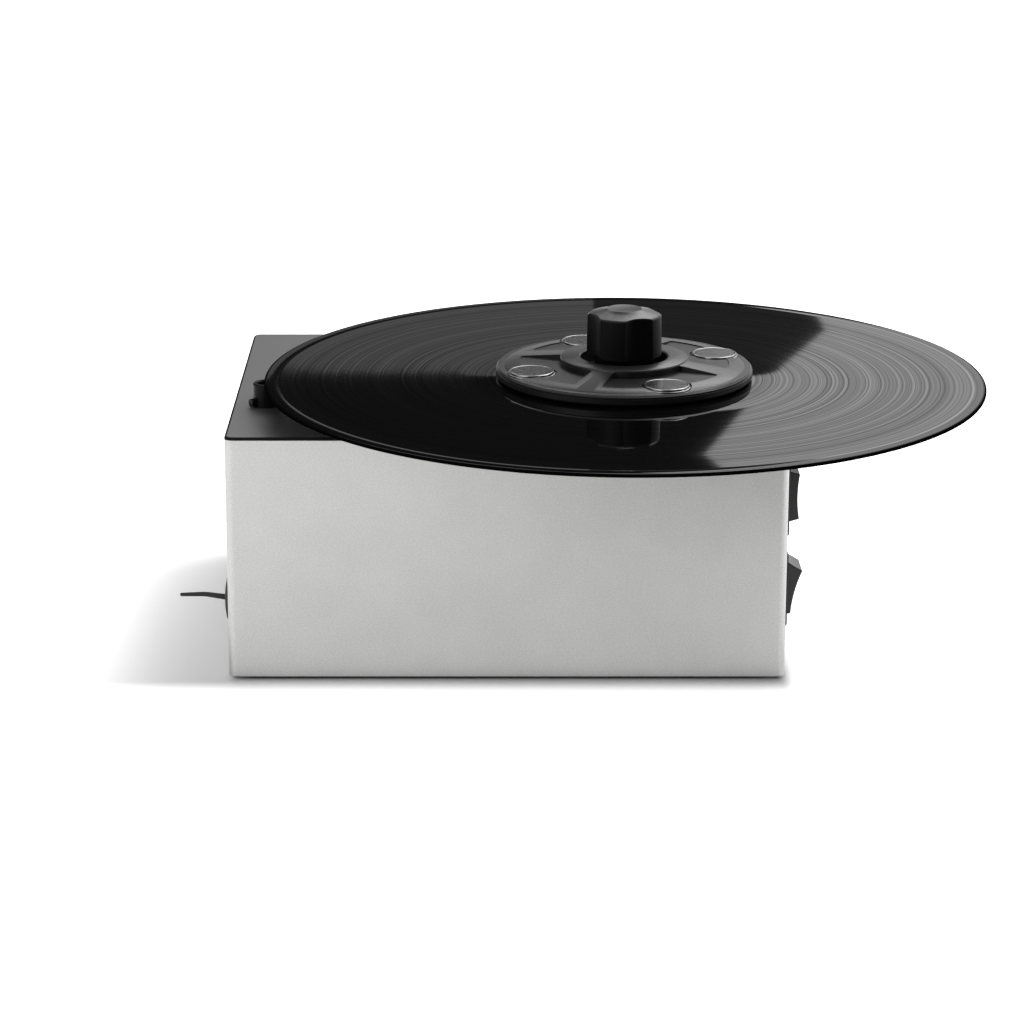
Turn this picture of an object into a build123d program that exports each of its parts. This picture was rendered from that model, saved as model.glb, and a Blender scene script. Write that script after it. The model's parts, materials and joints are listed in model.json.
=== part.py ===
"""Record cleaning machine: a compact aluminium case with a motor-driven platter, a 12-inch record
held by a magnetic clamp, a socket for a suction arm, a waste tank, a suction fan and two rocker switches.

Frame: origin on the surface it stands on, under the centre of the case. +X to the switch side,
-Y to the plain front, +Z up. All sizes are in millimetres.
"""
from build123d import *
import os
from math import cos, hypot, radians, sin

# ---- Driving dimensions -------------------------------------------------------------------------
CASE_W, CASE_D = 230.0, 182.0        # outside of the sleeve
CASE_CORNER_R = 3.5                  # vertical corners
SHEET = 2.0                          # sleeve wall
FOOT_GAP = 2.0                       # underside of the sleeve above the surface
SLEEVE_H = 101.0
DECK_FLANGE_T = 1.2                  # part of the deck seen above the sleeve
DECK_TONGUE_T = 2.0                  # part of the deck that locates inside the sleeve
BASE_FLANGE_T = 0.8                  # part of the base plate below the sleeve
BASE_TONGUE_T = 2.0
FIT_GAP = 0.3                        # all-round gap of the deck and base tongues in the sleeve
FOOT_R, FOOT_SET_IN = 8.0, 0.6       # rubber foot, and its depth in the base plate's underside
FOOT_X, FOOT_Y = 98.0, 74.0          # feet from the middle
POST_R, POST_INSET = 3.5, 4.0        # corner posts, and their distance inside the sleeve's walls

THREAD_R, THREAD_HOLE_R = 1.45, 1.5  # 3 mm screws that hold the inner parts, and their holes
THREAD_BITE = 1.6                    # how far they reach into the deck
BASE_SCREW_R = 1.7                   # 3.5 mm countersunk screws in the base plate

SPINDLE_X, SPINDLE_Y = 49.3, -38.0   # platter axis
SHAFT_R = 4.0
PIN_R = 3.57                         # spindle pin that passes through a record
PIN_ABOVE_LABEL = 13.6
RECORD_BORE_R = 3.62
RUNNING_GAP = 0.05                   # radial clearance of everything that turns or slides

BUSH_BOTTOM = 87.0
BUSH_SCREW_RING_R = 11.5
DECK_SPINDLE_HOLE_R = 6.5
GEARBOX_TOP, GEARBOX_BOTTOM = 68.0, 44.0
GEARBOX_R, GEARBOX_BOSS_R = 18.5, 8.0
GEARBOX_SHAFT_R = 3.0
SHAFT_JOINT_Z = 79.5                 # where the gearbox shaft meets the spindle
COUPLING_BOTTOM, COUPLING_TOP = 72.5, 86.0
COUPLING_R = 9.0
COUPLING_SCREW_Z = (76.0, 83.0)
BRACKET_T = 2.0
STANDOFF_DX, STANDOFF_DY = 25.0, 19.0

RECORD_R = 150.8                     # 12-inch record
LABEL_R, LABEL_T = 50.0, 0.2
RECORD_Z = 114.9                     # underside of the record's label area
RECORD_LABEL_T = 1.9                 # thickness at the label
RECORD_GROOVE_T = 1.4
RECORD_EDGE_T = 1.7

PLATTER_R = 52.0
PLATTER_Z = 106.4
PLATTER_T = 7.0
PLATTER_SEAT_H = 5.0                 # spindle shoulder above the platter's underside
PLATTER_MAGNET_R, PLATTER_MAGNET_T = 10.0, 3.0

CLAMP_R = 53.8
CLAMP_GAP = 0.6                      # clamp body above the label, bridged by its rubber ring
CLAMP_RIM_H = 4.9                    # rim edge above the label
CLAMP_HUB_H = 8.9                    # hub ring above the label
CLAMP_FLOOR_H = 5.6                  # pocket floors above the label
CLAMP_WELL_T = 2.6                   # floor under the knob
RIM_FLAT_R = 50.4
HUB_OUTER_R, HUB_INNER_R = 26.8, 18.3
POCKET_R = 44.0
SPOKE_ANGLE = 68.0                   # first of the four spokes
SPOKE_HALF_IN, SPOKE_HALF_OUT = 4.4, 6.3
MAGNET_R, MAGNET_T = 10.0, 3.9
MAGNET_STEP_R, MAGNET_STEP = 9.4, 0.9  # upper disc of a magnet, and its height above the collar
MAGNET_MOAT, MAGNET_MOAT_DEPTH = 0.35, 1.9  # gap round a magnet, and its depth below the magnet's face
MAGNET_RING_R, MAGNET_ANGLE = 42.0, 22.0
MAGNET_PROUD = 0.7                   # magnets above the pocket floors
SEAL_INNER_R, SEAL_OUTER_R = 47.4, 50.8
SEAL_SET_IN = 1.2
CLAMP_BUSH_R, CLAMP_BUSH_H = 5.6, 15.5
CLAMP_SCREW_RING_R = 10.2

KNOB_R = 15.7
KNOB_TOP_H = 29.1                    # top of the knob above the label
KNOB_EDGE_DROP = 2.2                 # lobed edge below the top
KNOB_GAP, STEM_R = 0.6, 12.4         # knob's skirt above the hub, and the stem below it in the well
FLUTE_R, FLUTE_DEPTH_R = 17.3, 12.9  # radius of a flute, and its nearest distance from the axis
CAP_R = 7.3                          # dished cap in the middle of the knob

ARM_SOCKET_X, ARM_SOCKET_Y = -100.8, -38.0
ARM_SOCKET_H = 9.8
ARM_SOCKET_R, ARM_BORE_R = 5.8, 4.05
ARM_THREAD_R, DECK_SOCKET_HOLE_R = 4.9, 5.0
ARM_DUCT_R = 3.0                     # bore below the tube's seat
THUMBSCREW_R, THUMBSCREW_HEAD_R = 1.0, 1.8
THUMBSCREW_HEAD_L = 2.0
THUMBSCREW_H = 2.0                   # its axis above the deck
THUMBSCREW_TURN = 35.0               # it points this far from -X towards the front

TANK = dict(x0=-110.0, x1=-14.0, y0=-80.0, y1=4.0, z0=21.5, z1=70.0)
TANK_WALL = 2.0
LID_T = 3.0
BARB_R = 4.4                         # small barbs, and the bore of the suction hose
NIPPLE_R, NIPPLE_BORE_R, NIPPLE_H = 6.0, 4.6, 6.0
HOSE_NIPPLE = (-40.0, -10.0)
HOSE_LEVEL = 88.0                    # the vacuum hose's run under the deck
HOSE_WALL = 1.6

DRAIN_Y, DRAIN_Z = -68.0, 29.0
SPOUT_R, DRAIN_BORE_R = 6.5, 4.5
PLUG_FLANGE_R, PLUG_FLANGE_T = 9.3, 2.7
PLUG_STEM_L = 10.0
TAIL_R, TAIL_TIP_R = 1.2, 0.75
TAIL_L = 20.8                        # out from the case, without its round tip

FAN_X, FAN_Y = -52.0, 46.0
FAN_R = 36.0                         # inside of the fan housing
FAN_BOTTOM, FAN_TOP = 54.0, 72.0
FAN_WALL = 2.0
FAN_SHAFT_R = 3.0
FAN_MOUNT_TOP = 12.0
OUTLET_HALF_W = 17.0                 # half width of the fan's square outlet
SLOT_L, SLOT_W, SLOT_PITCH, SLOT_Z = 13.0, 2.4, 3.9, 65.0
SLOTS = 8

INLET_X, INLET_Z = 66.0, 52.0
INLET_BODY_HALF_W, INLET_BODY_HALF_H = 13.5, 16.0
INLET_FLANGE_W, INLET_FLANGE_H, INLET_FLANGE_T = 31.0, 36.5, 2.6
SOCKET_RISE, DRAWER_DROP = 6.0, 10.0  # recess above, and fuse drawer below, the inlet's middle
DRAWER_HALF_W, DRAWER_HALF_H = 11.0, 4.0
FUSE_R = 2.5
BOARD = dict(x0=14.0, x1=104.0, y0=6.0, y1=62.0, z=12.0, t=1.6)

SWITCH_Y = -68.2                     # middle of both switches
SWITCH_Z_LOWER, SWITCH_Z_UPPER = 36.0, 75.0
BEZEL_H, BEZEL_W, BEZEL_T = 31.8, 25.6, 1.3
BEZEL_CHAMFER = 0.4
SWITCH_BODY_HALF_W, SWITCH_BODY_HALF_H = 10.8, 14.8
SWITCH_BODY_DEPTH, CAVITY_DEPTH, CAVITY_HALF_H = 24.0, 14.0, 12.75
ROCKER_W, ROCKER_SIDE_GAP = 16.0, 0.3
ROCKER_TIP = (5.7, 9.6)              # proud of the case, and away from the middle, when level
ROCKER_DIP = 4.9                     # proud of the case at the middle of the hollow face
ROCKER_TILT = 14.0                   # each way from level
PIVOT_INSET, PIVOT_R = 4.0, 1.5      # rocker pivot behind the outside of the case
PIVOT_HALF_L = 10.0

# ---- Levels and places worked out from them -----------------------------------------------------
SLEEVE_TOP = FOOT_GAP + SLEEVE_H
DECK_TOP = SLEEVE_TOP + DECK_FLANGE_T
DECK_UNDER = SLEEVE_TOP - DECK_TONGUE_T
BASE_UNDER = FOOT_GAP - BASE_FLANGE_T
BASE_TOP = FOOT_GAP + BASE_TONGUE_T
INSIDE_W, INSIDE_D = CASE_W - 2 * SHEET, CASE_D - 2 * SHEET
SIDE_X, REAR_Y = CASE_W / 2, CASE_D / 2
PLATTER_TOP = PLATTER_Z + PLATTER_T
LABEL_TOP = RECORD_Z + RECORD_LABEL_T
CLAMP_BOTTOM = LABEL_TOP + CLAMP_GAP
RIM_Z = LABEL_TOP + CLAMP_RIM_H
HUB_Z = LABEL_TOP + CLAMP_HUB_H
FLOOR_Z = LABEL_TOP + CLAMP_FLOOR_H
WELL_Z = CLAMP_BOTTOM + CLAMP_WELL_T
FLUTE_ANGLE = SPOKE_ANGLE - 45
MAGNET_TOP = FLOOR_Z + MAGNET_PROUD
KNOB_TOP = LABEL_TOP + KNOB_TOP_H
KNOB_SKIRT_Z = HUB_Z + KNOB_GAP
THUMBSCREW_Z = DECK_TOP + THUMBSCREW_H
LID_TOP = TANK["z1"] + LID_T
SOCKET_Z = INLET_Z + SOCKET_RISE
DRAWER_Z = INLET_Z - DRAWER_DROP
SPINDLE = (SPINDLE_X, SPINDLE_Y)
ARM_SOCKET = (ARM_SOCKET_X, ARM_SOCKET_Y)
FAN = (FAN_X, FAN_Y)
CORNERS = [(sx, sy) for sx in (-1, 1) for sy in (-1, 1)]
POST_PLACES = [(sx * (INSIDE_W / 2 - POST_INSET), sy * (INSIDE_D / 2 - POST_INSET)) for sx, sy in CORNERS]
FOOT_PLACES = [(sx * FOOT_X, sy * FOOT_Y) for sx, sy in CORNERS]
STANDOFF_PLACES = [(SPINDLE_X + sx * STANDOFF_DX, SPINDLE_Y + sy * STANDOFF_DY) for sx, sy in CORNERS]
BOTTOM = (Align.CENTER, Align.CENTER, Align.MIN)


# ---- Small building blocks ----------------------------------------------------------------------
def disc(radius, z0, z1, at=(0, 0)):
    """Upright cylinder from z0 to z1."""
    return Pos(at[0], at[1], z0) * Cylinder(radius, z1 - z0, align=BOTTOM)


def ring(outer, inner, z0, z1, at=(0, 0)):
    """Upright tube from z0 to z1."""
    return disc(outer, z0, z1, at) - disc(inner, z0 - 1, z1 + 1, at)


def block(x0, x1, y0, y1, z0, z1):
    """Box between two corners."""
    size = (x1 - x0, y1 - y0, z1 - z0)
    return Pos((x0 + x1) / 2, (y0 + y1) / 2, (z0 + z1) / 2) * Box(*size)


def rear_block(x, z, half_w, half_h, y0, y1):
    """Box centred on (x, z), between two depths."""
    return block(x - half_w, x + half_w, y0, y1, z - half_h, z + half_h)


def side_block(y, z, half_w, half_h, x0, x1):
    """Box centred on (y, z), between two places along X."""
    return block(x0, x1, y - half_w, y + half_w, z - half_h, z + half_h)


def plate(width, depth, corner, z0, z1, at=(0, 0)):
    """Flat plate with rounded vertical corners."""
    outline = Pos(at[0], at[1], z0) * RectangleRounded(width, depth, corner)
    return extrude(outline, z1 - z0)


def turned(profile, at=(0, 0)):
    """Solid of revolution about an upright axis, from (radius, z) points."""
    face = make_face(Plane.XZ * Polyline(*profile, close=True))
    return Pos(at[0], at[1], 0) * revolve(face, Axis.Z)


def bar_x(radius, x0, x1, y, z):
    """Round bar along X."""
    return Pos(x0, y, z) * Rot(0, 90, 0) * Cylinder(radius, x1 - x0, align=BOTTOM)


def around(shape, count, radius, start=0.0, at=(0, 0)):
    """Copies of an upright shape on a circle."""
    step = 360.0 / count
    angles = [radians(start + i * step) for i in range(count)]
    return [Pos(at[0] + radius * cos(a), at[1] + radius * sin(a), 0) * shape for a in angles]


def group(solids):
    """Separate solids kept together in one node."""
    return Compound(children=list(solids))


# ---- Case ---------------------------------------------------------------------------------------
def exhaust_slots():
    """Row of upright slots in the rear wall, behind the fan's outlet."""
    slot = Plane.XZ * SlotOverall(SLOT_L, SLOT_W, rotation=90)
    cutter = extrude(slot, 8, both=True)
    first = FAN_X - (SLOTS - 1) / 2 * SLOT_PITCH
    return [Pos(first + i * SLOT_PITCH, REAR_Y - 1, SLOT_Z) * cutter for i in range(SLOTS)]


def case_sleeve():
    """Wrapped aluminium sleeve: front, sides and rear in one, open above and below."""
    sleeve = plate(CASE_W, CASE_D, CASE_CORNER_R, FOOT_GAP, SLEEVE_TOP)
    sleeve -= plate(INSIDE_W, INSIDE_D, CASE_CORNER_R - SHEET, FOOT_GAP - 1, SLEEVE_TOP + 1)
    for z in (SWITCH_Z_LOWER, SWITCH_Z_UPPER):
        half_w, half_h = SWITCH_BODY_HALF_W + 0.2, SWITCH_BODY_HALF_H + 0.2
        sleeve -= side_block(SWITCH_Y, z, half_w, half_h, SIDE_X - 5, SIDE_X + 5)
    sleeve -= bar_x(SPOUT_R + 0.1, -SIDE_X - 5, -SIDE_X + 5, DRAIN_Y, DRAIN_Z)
    half_w, half_h = INLET_BODY_HALF_W + 0.2, INLET_BODY_HALF_H + 0.2
    sleeve -= rear_block(INLET_X, INLET_Z, half_w, half_h, REAR_Y - 5, REAR_Y + 5)
    for slot in exhaust_slots():
        sleeve -= slot
    return sleeve


def top_deck():
    """Satin deck plate: a bevelled flange on the sleeve, and a tongue inside it."""
    flange = plate(CASE_W, CASE_D, CASE_CORNER_R, SLEEVE_TOP, DECK_TOP)
    flange = chamfer(flange.faces().sort_by(Axis.Z)[-1].edges(), 0.6)
    tongue_w, tongue_d = INSIDE_W - 2 * FIT_GAP, INSIDE_D - 2 * FIT_GAP
    deck = flange + plate(tongue_w, tongue_d, CASE_CORNER_R - SHEET, DECK_UNDER, SLEEVE_TOP)
    deck -= disc(DECK_SPINDLE_HOLE_R, DECK_UNDER - 1, DECK_TOP + 1, SPINDLE)
    deck -= disc(DECK_SOCKET_HOLE_R, DECK_UNDER - 1, DECK_TOP + 1, ARM_SOCKET)
    blind_hole = disc(THREAD_HOLE_R, DECK_UNDER - 1, DECK_UNDER + THREAD_BITE + 0.2)
    for x, y in POST_PLACES + STANDOFF_PLACES:
        deck -= Pos(x, y, 0) * blind_hole
    for screw_hole in around(blind_hole, 3, BUSH_SCREW_RING_R, 90, SPINDLE):
        deck -= screw_hole
    return deck


def base_plate():
    """Bottom plate: a recessed flange under the sleeve, and a tongue inside it."""
    base = plate(CASE_W - 3, CASE_D - 3, CASE_CORNER_R - 1, BASE_UNDER, FOOT_GAP)
    tongue_w, tongue_d = INSIDE_W - 2 * FIT_GAP, INSIDE_D - 2 * FIT_GAP
    base += plate(tongue_w, tongue_d, CASE_CORNER_R - SHEET, FOOT_GAP, BASE_TOP)
    for x, y in FOOT_PLACES:
        base -= disc(FOOT_R + 0.2, 0, FOOT_GAP + FOOT_SET_IN, (x, y))
    for x, y in POST_PLACES:
        base -= disc(BASE_SCREW_R + 0.35, 0, BASE_TOP + 1, (x, y))
        base -= Pos(x, y, BASE_UNDER) * Cone(3.9, BASE_SCREW_R + 0.35, 1.8, align=BOTTOM)
    vent_w, vent_l, vent_pitch, vents = 3.0, 30.0, 7.0, 9
    first = FAN_X - (vents - 1) / 2 * vent_pitch
    for i in range(vents):
        base -= plate(vent_w, vent_l, 1.49, 0, BASE_TOP + 1, (first + i * vent_pitch, FAN_Y))
    return base


def feet():
    """Four round rubber feet, set into the base plate."""
    top = FOOT_GAP + FOOT_SET_IN
    profile = [(0, 0), (FOOT_R - 0.8, 0), (FOOT_R, 0.8), (FOOT_R, top), (0, top)]
    return group(turned(profile, place) for place in FOOT_PLACES)


def corner_posts():
    """Four posts that tie the deck to the base plate and trap the sleeve between them."""
    post = disc(POST_R, BASE_TOP, DECK_UNDER) + disc(THREAD_R, DECK_UNDER, DECK_UNDER + THREAD_BITE)
    post -= disc(BASE_SCREW_R + 0.05, BASE_TOP - 1, BASE_TOP + 11)
    return group(Pos(x, y, 0) * post for x, y in POST_PLACES)


def base_screws():
    """Four countersunk screws through the base plate into the corner posts."""
    screw = Pos(0, 0, BASE_UNDER) * Cone(3.5, BASE_SCREW_R, 1.7, align=BOTTOM)
    screw += disc(BASE_SCREW_R, BASE_UNDER, BASE_UNDER + 12)
    screw -= Pos(0, 0, BASE_UNDER) * Box(1.0, 1.0, 1.2)
    return group(Pos(x, y, 0) * screw for x, y in POST_PLACES)


# ---- Platter drive ------------------------------------------------------------------------------
def spindle_bush():
    """Flanged bearing housing under the deck, with a collar that keeps drips out of the bore."""
    bore_r, body_r, flange_r, collar_r = SHAFT_R + RUNNING_GAP, 8, 15, DECK_SPINDLE_HOLE_R - 0.1
    flange_z, collar_z = DECK_UNDER - 3, DECK_TOP + 1.4
    profile = [
        (bore_r, BUSH_BOTTOM), (body_r, BUSH_BOTTOM), (body_r, flange_z), (flange_r, flange_z),
        (flange_r, DECK_UNDER), (collar_r, DECK_UNDER), (collar_r, collar_z - 0.6),
        (collar_r - 0.6, collar_z), (bore_r, collar_z),
    ]
    bush = turned(profile, SPINDLE)
    screw_hole = disc(THREAD_HOLE_R, flange_z - 1, DECK_UNDER + 1)
    for hole in around(screw_hole, 3, BUSH_SCREW_RING_R, 90, SPINDLE):
        bush -= hole
    return bush


def bush_screws():
    """Three screws that hold the bearing housing to the deck."""
    screw = disc(THREAD_R, DECK_UNDER - 3, DECK_UNDER + THREAD_BITE)
    screw += disc(2.75, DECK_UNDER - 5, DECK_UNDER - 3)
    return group(around(screw, 3, BUSH_SCREW_RING_R, 90, SPINDLE))


def motor_bracket():
    """Plate hung under the deck that carries the gearbox."""
    bracket = plate(62, 50, 5, GEARBOX_TOP, GEARBOX_TOP + BRACKET_T, SPINDLE)
    bracket -= disc(GEARBOX_BOSS_R + 0.1, GEARBOX_TOP - 1, GEARBOX_TOP + BRACKET_T + 1, SPINDLE)
    for place in STANDOFF_PLACES:
        bracket -= disc(THREAD_HOLE_R + 0.1, GEARBOX_TOP - 1, GEARBOX_TOP + BRACKET_T + 1, place)
    return bracket


def bracket_standoffs():
    """Four standoffs between the deck and the motor bracket."""
    top = GEARBOX_TOP + BRACKET_T
    standoff = disc(3.2, top, DECK_UNDER) + disc(THREAD_R, DECK_UNDER, DECK_UNDER + THREAD_BITE)
    standoff += disc(THREAD_HOLE_R, GEARBOX_TOP, top)
    return group(Pos(x, y, 0) * standoff for x, y in STANDOFF_PLACES)


def bracket_nuts():
    """Four nuts under the motor bracket."""
    nut = extrude(Pos(0, 0, GEARBOX_TOP - 2.4) * RegularPolygon(3.2, 6), 2.4)
    return group(Pos(x, y, 0) * nut for x, y in STANDOFF_PLACES)


def drive_gearbox():
    """Round gearbox with a register boss that passes through the bracket."""
    gearbox = disc(GEARBOX_R, GEARBOX_BOTTOM, GEARBOX_TOP, SPINDLE)
    gearbox += disc(GEARBOX_BOSS_R, GEARBOX_TOP, GEARBOX_TOP + 3, SPINDLE)
    return gearbox - disc(GEARBOX_SHAFT_R + RUNNING_GAP, GEARBOX_TOP - 8, GEARBOX_TOP + 4, SPINDLE)


def drive_motor():
    """Motor can below the gearbox, with its rear bearing boss."""
    profile = [(0, 8), (5, 8), (5, 10), (16, 10), (17, 11), (17, GEARBOX_BOTTOM), (0, GEARBOX_BOTTOM)]
    return turned(profile, SPINDLE)


def gearbox_shaft():
    """Output shaft of the gearbox."""
    return disc(GEARBOX_SHAFT_R, GEARBOX_TOP - 7, SHAFT_JOINT_Z, SPINDLE)


def shaft_coupling():
    """Clamping sleeve that joins the gearbox shaft to the spindle."""
    sleeve = disc(COUPLING_R, COUPLING_BOTTOM, COUPLING_TOP, SPINDLE)
    sleeve -= disc(GEARBOX_SHAFT_R, COUPLING_BOTTOM - 1, SHAFT_JOINT_Z, SPINDLE)
    sleeve -= disc(SHAFT_R, SHAFT_JOINT_Z, COUPLING_TOP + 1, SPINDLE)
    for z in COUPLING_SCREW_Z:
        sleeve -= bar_x(THREAD_HOLE_R, SPINDLE_X + 2, SPINDLE_X + COUPLING_R + 1, SPINDLE_Y, z)
    return sleeve


def coupling_screws():
    """Two grub screws in the coupling."""
    screws = []
    for z, shaft_r in zip(COUPLING_SCREW_Z, (GEARBOX_SHAFT_R, SHAFT_R)):
        screw = bar_x(THREAD_HOLE_R, SPINDLE_X + 2.5, SPINDLE_X + COUPLING_R - 0.4, SPINDLE_Y, z)
        screws.append(screw - disc(shaft_r, z - 5, z + 5, SPINDLE))
    return group(screws)


def spindle_shaft():
    """Stepped spindle: shaft in the bearing, platter seat, and the rounded pin for the record."""
    seat_top = PLATTER_Z + PLATTER_SEAT_H
    pin_top = LABEL_TOP + PIN_ABOVE_LABEL
    profile = [
        (0, SHAFT_JOINT_Z), (SHAFT_R, SHAFT_JOINT_Z), (SHAFT_R, seat_top), (PIN_R, seat_top),
        (PIN_R, pin_top - 2.4), (2.9, pin_top - 1.0), (1.6, pin_top - 0.2), (0, pin_top),
    ]
    return turned(profile, SPINDLE)


# ---- Platter ------------------------------------------------------------------------------------
def platter():
    """Aluminium platter of the label's size, with a drip edge underneath and pockets for magnets."""
    hub_r, hollow_r, hollow_z, seat_z = 12, 44, PLATTER_Z + 1.6, PLATTER_Z + PLATTER_SEAT_H
    profile = [
        (SHAFT_R, PLATTER_Z), (hub_r, PLATTER_Z), (hub_r, hollow_z), (hollow_r, hollow_z),
        (hollow_r + 2, PLATTER_Z), (PLATTER_R - 1.5, PLATTER_Z), (PLATTER_R, PLATTER_Z + 1.5),
        (PLATTER_R, PLATTER_TOP - 1), (PLATTER_R - 1, PLATTER_TOP), (PIN_R, PLATTER_TOP), (PIN_R, seat_z),
        (SHAFT_R, seat_z),
    ]
    solid = turned(profile, SPINDLE)
    pocket = disc(PLATTER_MAGNET_R, PLATTER_TOP - PLATTER_MAGNET_T, PLATTER_TOP + 1)
    for cutter in around(pocket, 4, MAGNET_RING_R - 4, MAGNET_ANGLE, SPINDLE):
        solid -= cutter
    return solid


def platter_magnets():
    """Four magnets let into the platter under the mat."""
    magnet = disc(PLATTER_MAGNET_R, PLATTER_TOP - PLATTER_MAGNET_T, PLATTER_TOP)
    return group(around(magnet, 4, MAGNET_RING_R - 4, MAGNET_ANGLE, SPINDLE))


def platter_mat():
    """Rubber mat with a raised lip that seals the record's label."""
    bore_r, lip_r, middle_r, low_z = PIN_R + 0.6, PLATTER_R - 1.5, 12, RECORD_Z - 0.4
    profile = [
        (bore_r, PLATTER_TOP), (lip_r, PLATTER_TOP), (lip_r, low_z), (lip_r - 0.4, RECORD_Z),
        (lip_r - 3, RECORD_Z), (lip_r - 3.4, low_z), (middle_r, low_z), (middle_r - 0.4, RECORD_Z),
        (bore_r, RECORD_Z),
    ]
    return turned(profile, SPINDLE)


# ---- Record -------------------------------------------------------------------------------------
def record():
    """12-inch record: raised label area, thinner grooved area and a beaded edge."""
    middle = RECORD_Z + RECORD_LABEL_T / 2
    label_h, groove_h, edge_h = RECORD_LABEL_T / 2, RECORD_GROOVE_T / 2, RECORD_EDGE_T / 2
    half = [
        (RECORD_BORE_R, label_h - LABEL_T), (LABEL_R, label_h - LABEL_T), (LABEL_R, label_h),
        (LABEL_R + 1.2, label_h), (LABEL_R + 3.0, groove_h), (RECORD_R - 6.5, groove_h),
        (RECORD_R - 4.2, edge_h), (RECORD_R - 0.6, edge_h), (RECORD_R, edge_h - 0.45),
    ]
    upper = [(r, middle + h) for r, h in half]
    lower = [(r, middle - h) for r, h in reversed(half)]
    return turned(upper + lower, SPINDLE)


def record_labels():
    """Plain paper labels on both faces."""
    top = ring(LABEL_R, RECORD_BORE_R, LABEL_TOP - LABEL_T, LABEL_TOP, SPINDLE)
    bottom = ring(LABEL_R, RECORD_BORE_R, RECORD_Z, RECORD_Z + LABEL_T, SPINDLE)
    return group([top, bottom])


# ---- Clamp --------------------------------------------------------------------------------------
def spoke_outline(angle):
    """Plan of one spoke: narrow at the hub, wider at the rim."""
    inner, outer = HUB_OUTER_R - 3, POCKET_R + 4
    half_in, half_out = SPOKE_HALF_IN, SPOKE_HALF_OUT
    points = [(inner, -half_in), (outer, -half_out), (outer, half_out), (inner, half_in)]
    return Rot(0, 0, angle) * make_face(Polyline(*points, close=True))


def clamp_pockets():
    """Four pockets between the spokes, with rounded corners."""
    plan = Circle(POCKET_R) - Circle(HUB_OUTER_R)
    for i in range(4):
        plan -= spoke_outline(SPOKE_ANGLE + 90 * i)
    plan = fillet(plan.vertices(), 1.4)
    return extrude(Pos(0, 0, FLOOR_Z) * plan, HUB_Z - FLOOR_Z + 1)


def clamp_disc():
    """Moulded clamp: conical face, hub ring, four spokes and the seats for four magnets."""
    profile = [
        (CLAMP_BUSH_R, CLAMP_BOTTOM), (CLAMP_R - 0.8, CLAMP_BOTTOM), (CLAMP_R, CLAMP_BOTTOM + 0.8),
        (CLAMP_R, RIM_Z - 1.6), (CLAMP_R - 0.5, RIM_Z - 1.4), (CLAMP_R - 0.5, RIM_Z - 1.0),
        (CLAMP_R - 0.2, RIM_Z - 0.8), (CLAMP_R - 1.0, RIM_Z), (RIM_FLAT_R, RIM_Z),
        (RIM_FLAT_R - 0.8, RIM_Z + 0.5), (POCKET_R, RIM_Z + 1.1), (HUB_OUTER_R + 0.6, HUB_Z - 1.1),
        (HUB_OUTER_R, HUB_Z - 0.8), (HUB_OUTER_R - 0.3, HUB_Z - 0.3), (HUB_OUTER_R - 0.9, HUB_Z),
        (HUB_INNER_R + 0.5, HUB_Z), (HUB_INNER_R, HUB_Z - 0.5), (HUB_INNER_R, WELL_Z), (CLAMP_BUSH_R, WELL_Z),
    ]
    body = turned(profile)
    body -= clamp_pockets()
    seat = disc(MAGNET_R, MAGNET_TOP - MAGNET_T, HUB_Z)
    seat += disc(MAGNET_R + MAGNET_MOAT, MAGNET_TOP - MAGNET_MOAT_DEPTH, HUB_Z)
    for cutter in around(seat, 4, MAGNET_RING_R, MAGNET_ANGLE):
        body -= cutter
    body -= ring(SEAL_OUTER_R, SEAL_INNER_R, CLAMP_BOTTOM - 1, CLAMP_BOTTOM + SEAL_SET_IN)
    screw_hole = disc(1.6, CLAMP_BOTTOM - 1, WELL_Z + 1)
    screw_hole += Pos(0, 0, CLAMP_BOTTOM) * Cone(3.1, 1.6, 1.5, align=BOTTOM)
    for cutter in around(screw_hole, 3, CLAMP_SCREW_RING_R, 30):
        body -= cutter
    return Pos(SPINDLE_X, SPINDLE_Y, 0) * body


def clamp_magnets():
    """Four plated magnets with a collar and a rounded upper disc, standing proud of their seats."""
    bottom, collar_z = MAGNET_TOP - MAGNET_T, MAGNET_TOP - MAGNET_STEP
    profile = [
        (0, bottom), (MAGNET_R, bottom), (MAGNET_R, collar_z - 0.2), (MAGNET_R - 0.2, collar_z),
        (MAGNET_STEP_R, collar_z), (MAGNET_STEP_R, MAGNET_TOP - 0.5),
        (MAGNET_STEP_R - 0.15, MAGNET_TOP - 0.15), (MAGNET_STEP_R - 0.5, MAGNET_TOP), (0, MAGNET_TOP),
    ]
    return group(around(turned(profile), 4, MAGNET_RING_R, MAGNET_ANGLE, SPINDLE))


def clamp_seal():
    """Rubber ring in the clamp's underside that presses on the record and keeps the label dry."""
    inner, outer, low, high = SEAL_INNER_R, SEAL_OUTER_R, LABEL_TOP, CLAMP_BOTTOM + SEAL_SET_IN
    profile = [
        (inner + 0.6, low), (outer - 0.6, low), (outer, low + 0.6), (outer, high), (inner, high),
        (inner, low + 0.6),
    ]
    return turned(profile, SPINDLE)


def clamp_bush():
    """Plastic sleeve in the clamp that guides it on the spindle pin."""
    return ring(CLAMP_BUSH_R, RECORD_BORE_R, CLAMP_BOTTOM, LABEL_TOP + CLAMP_BUSH_H, SPINDLE)


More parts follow.
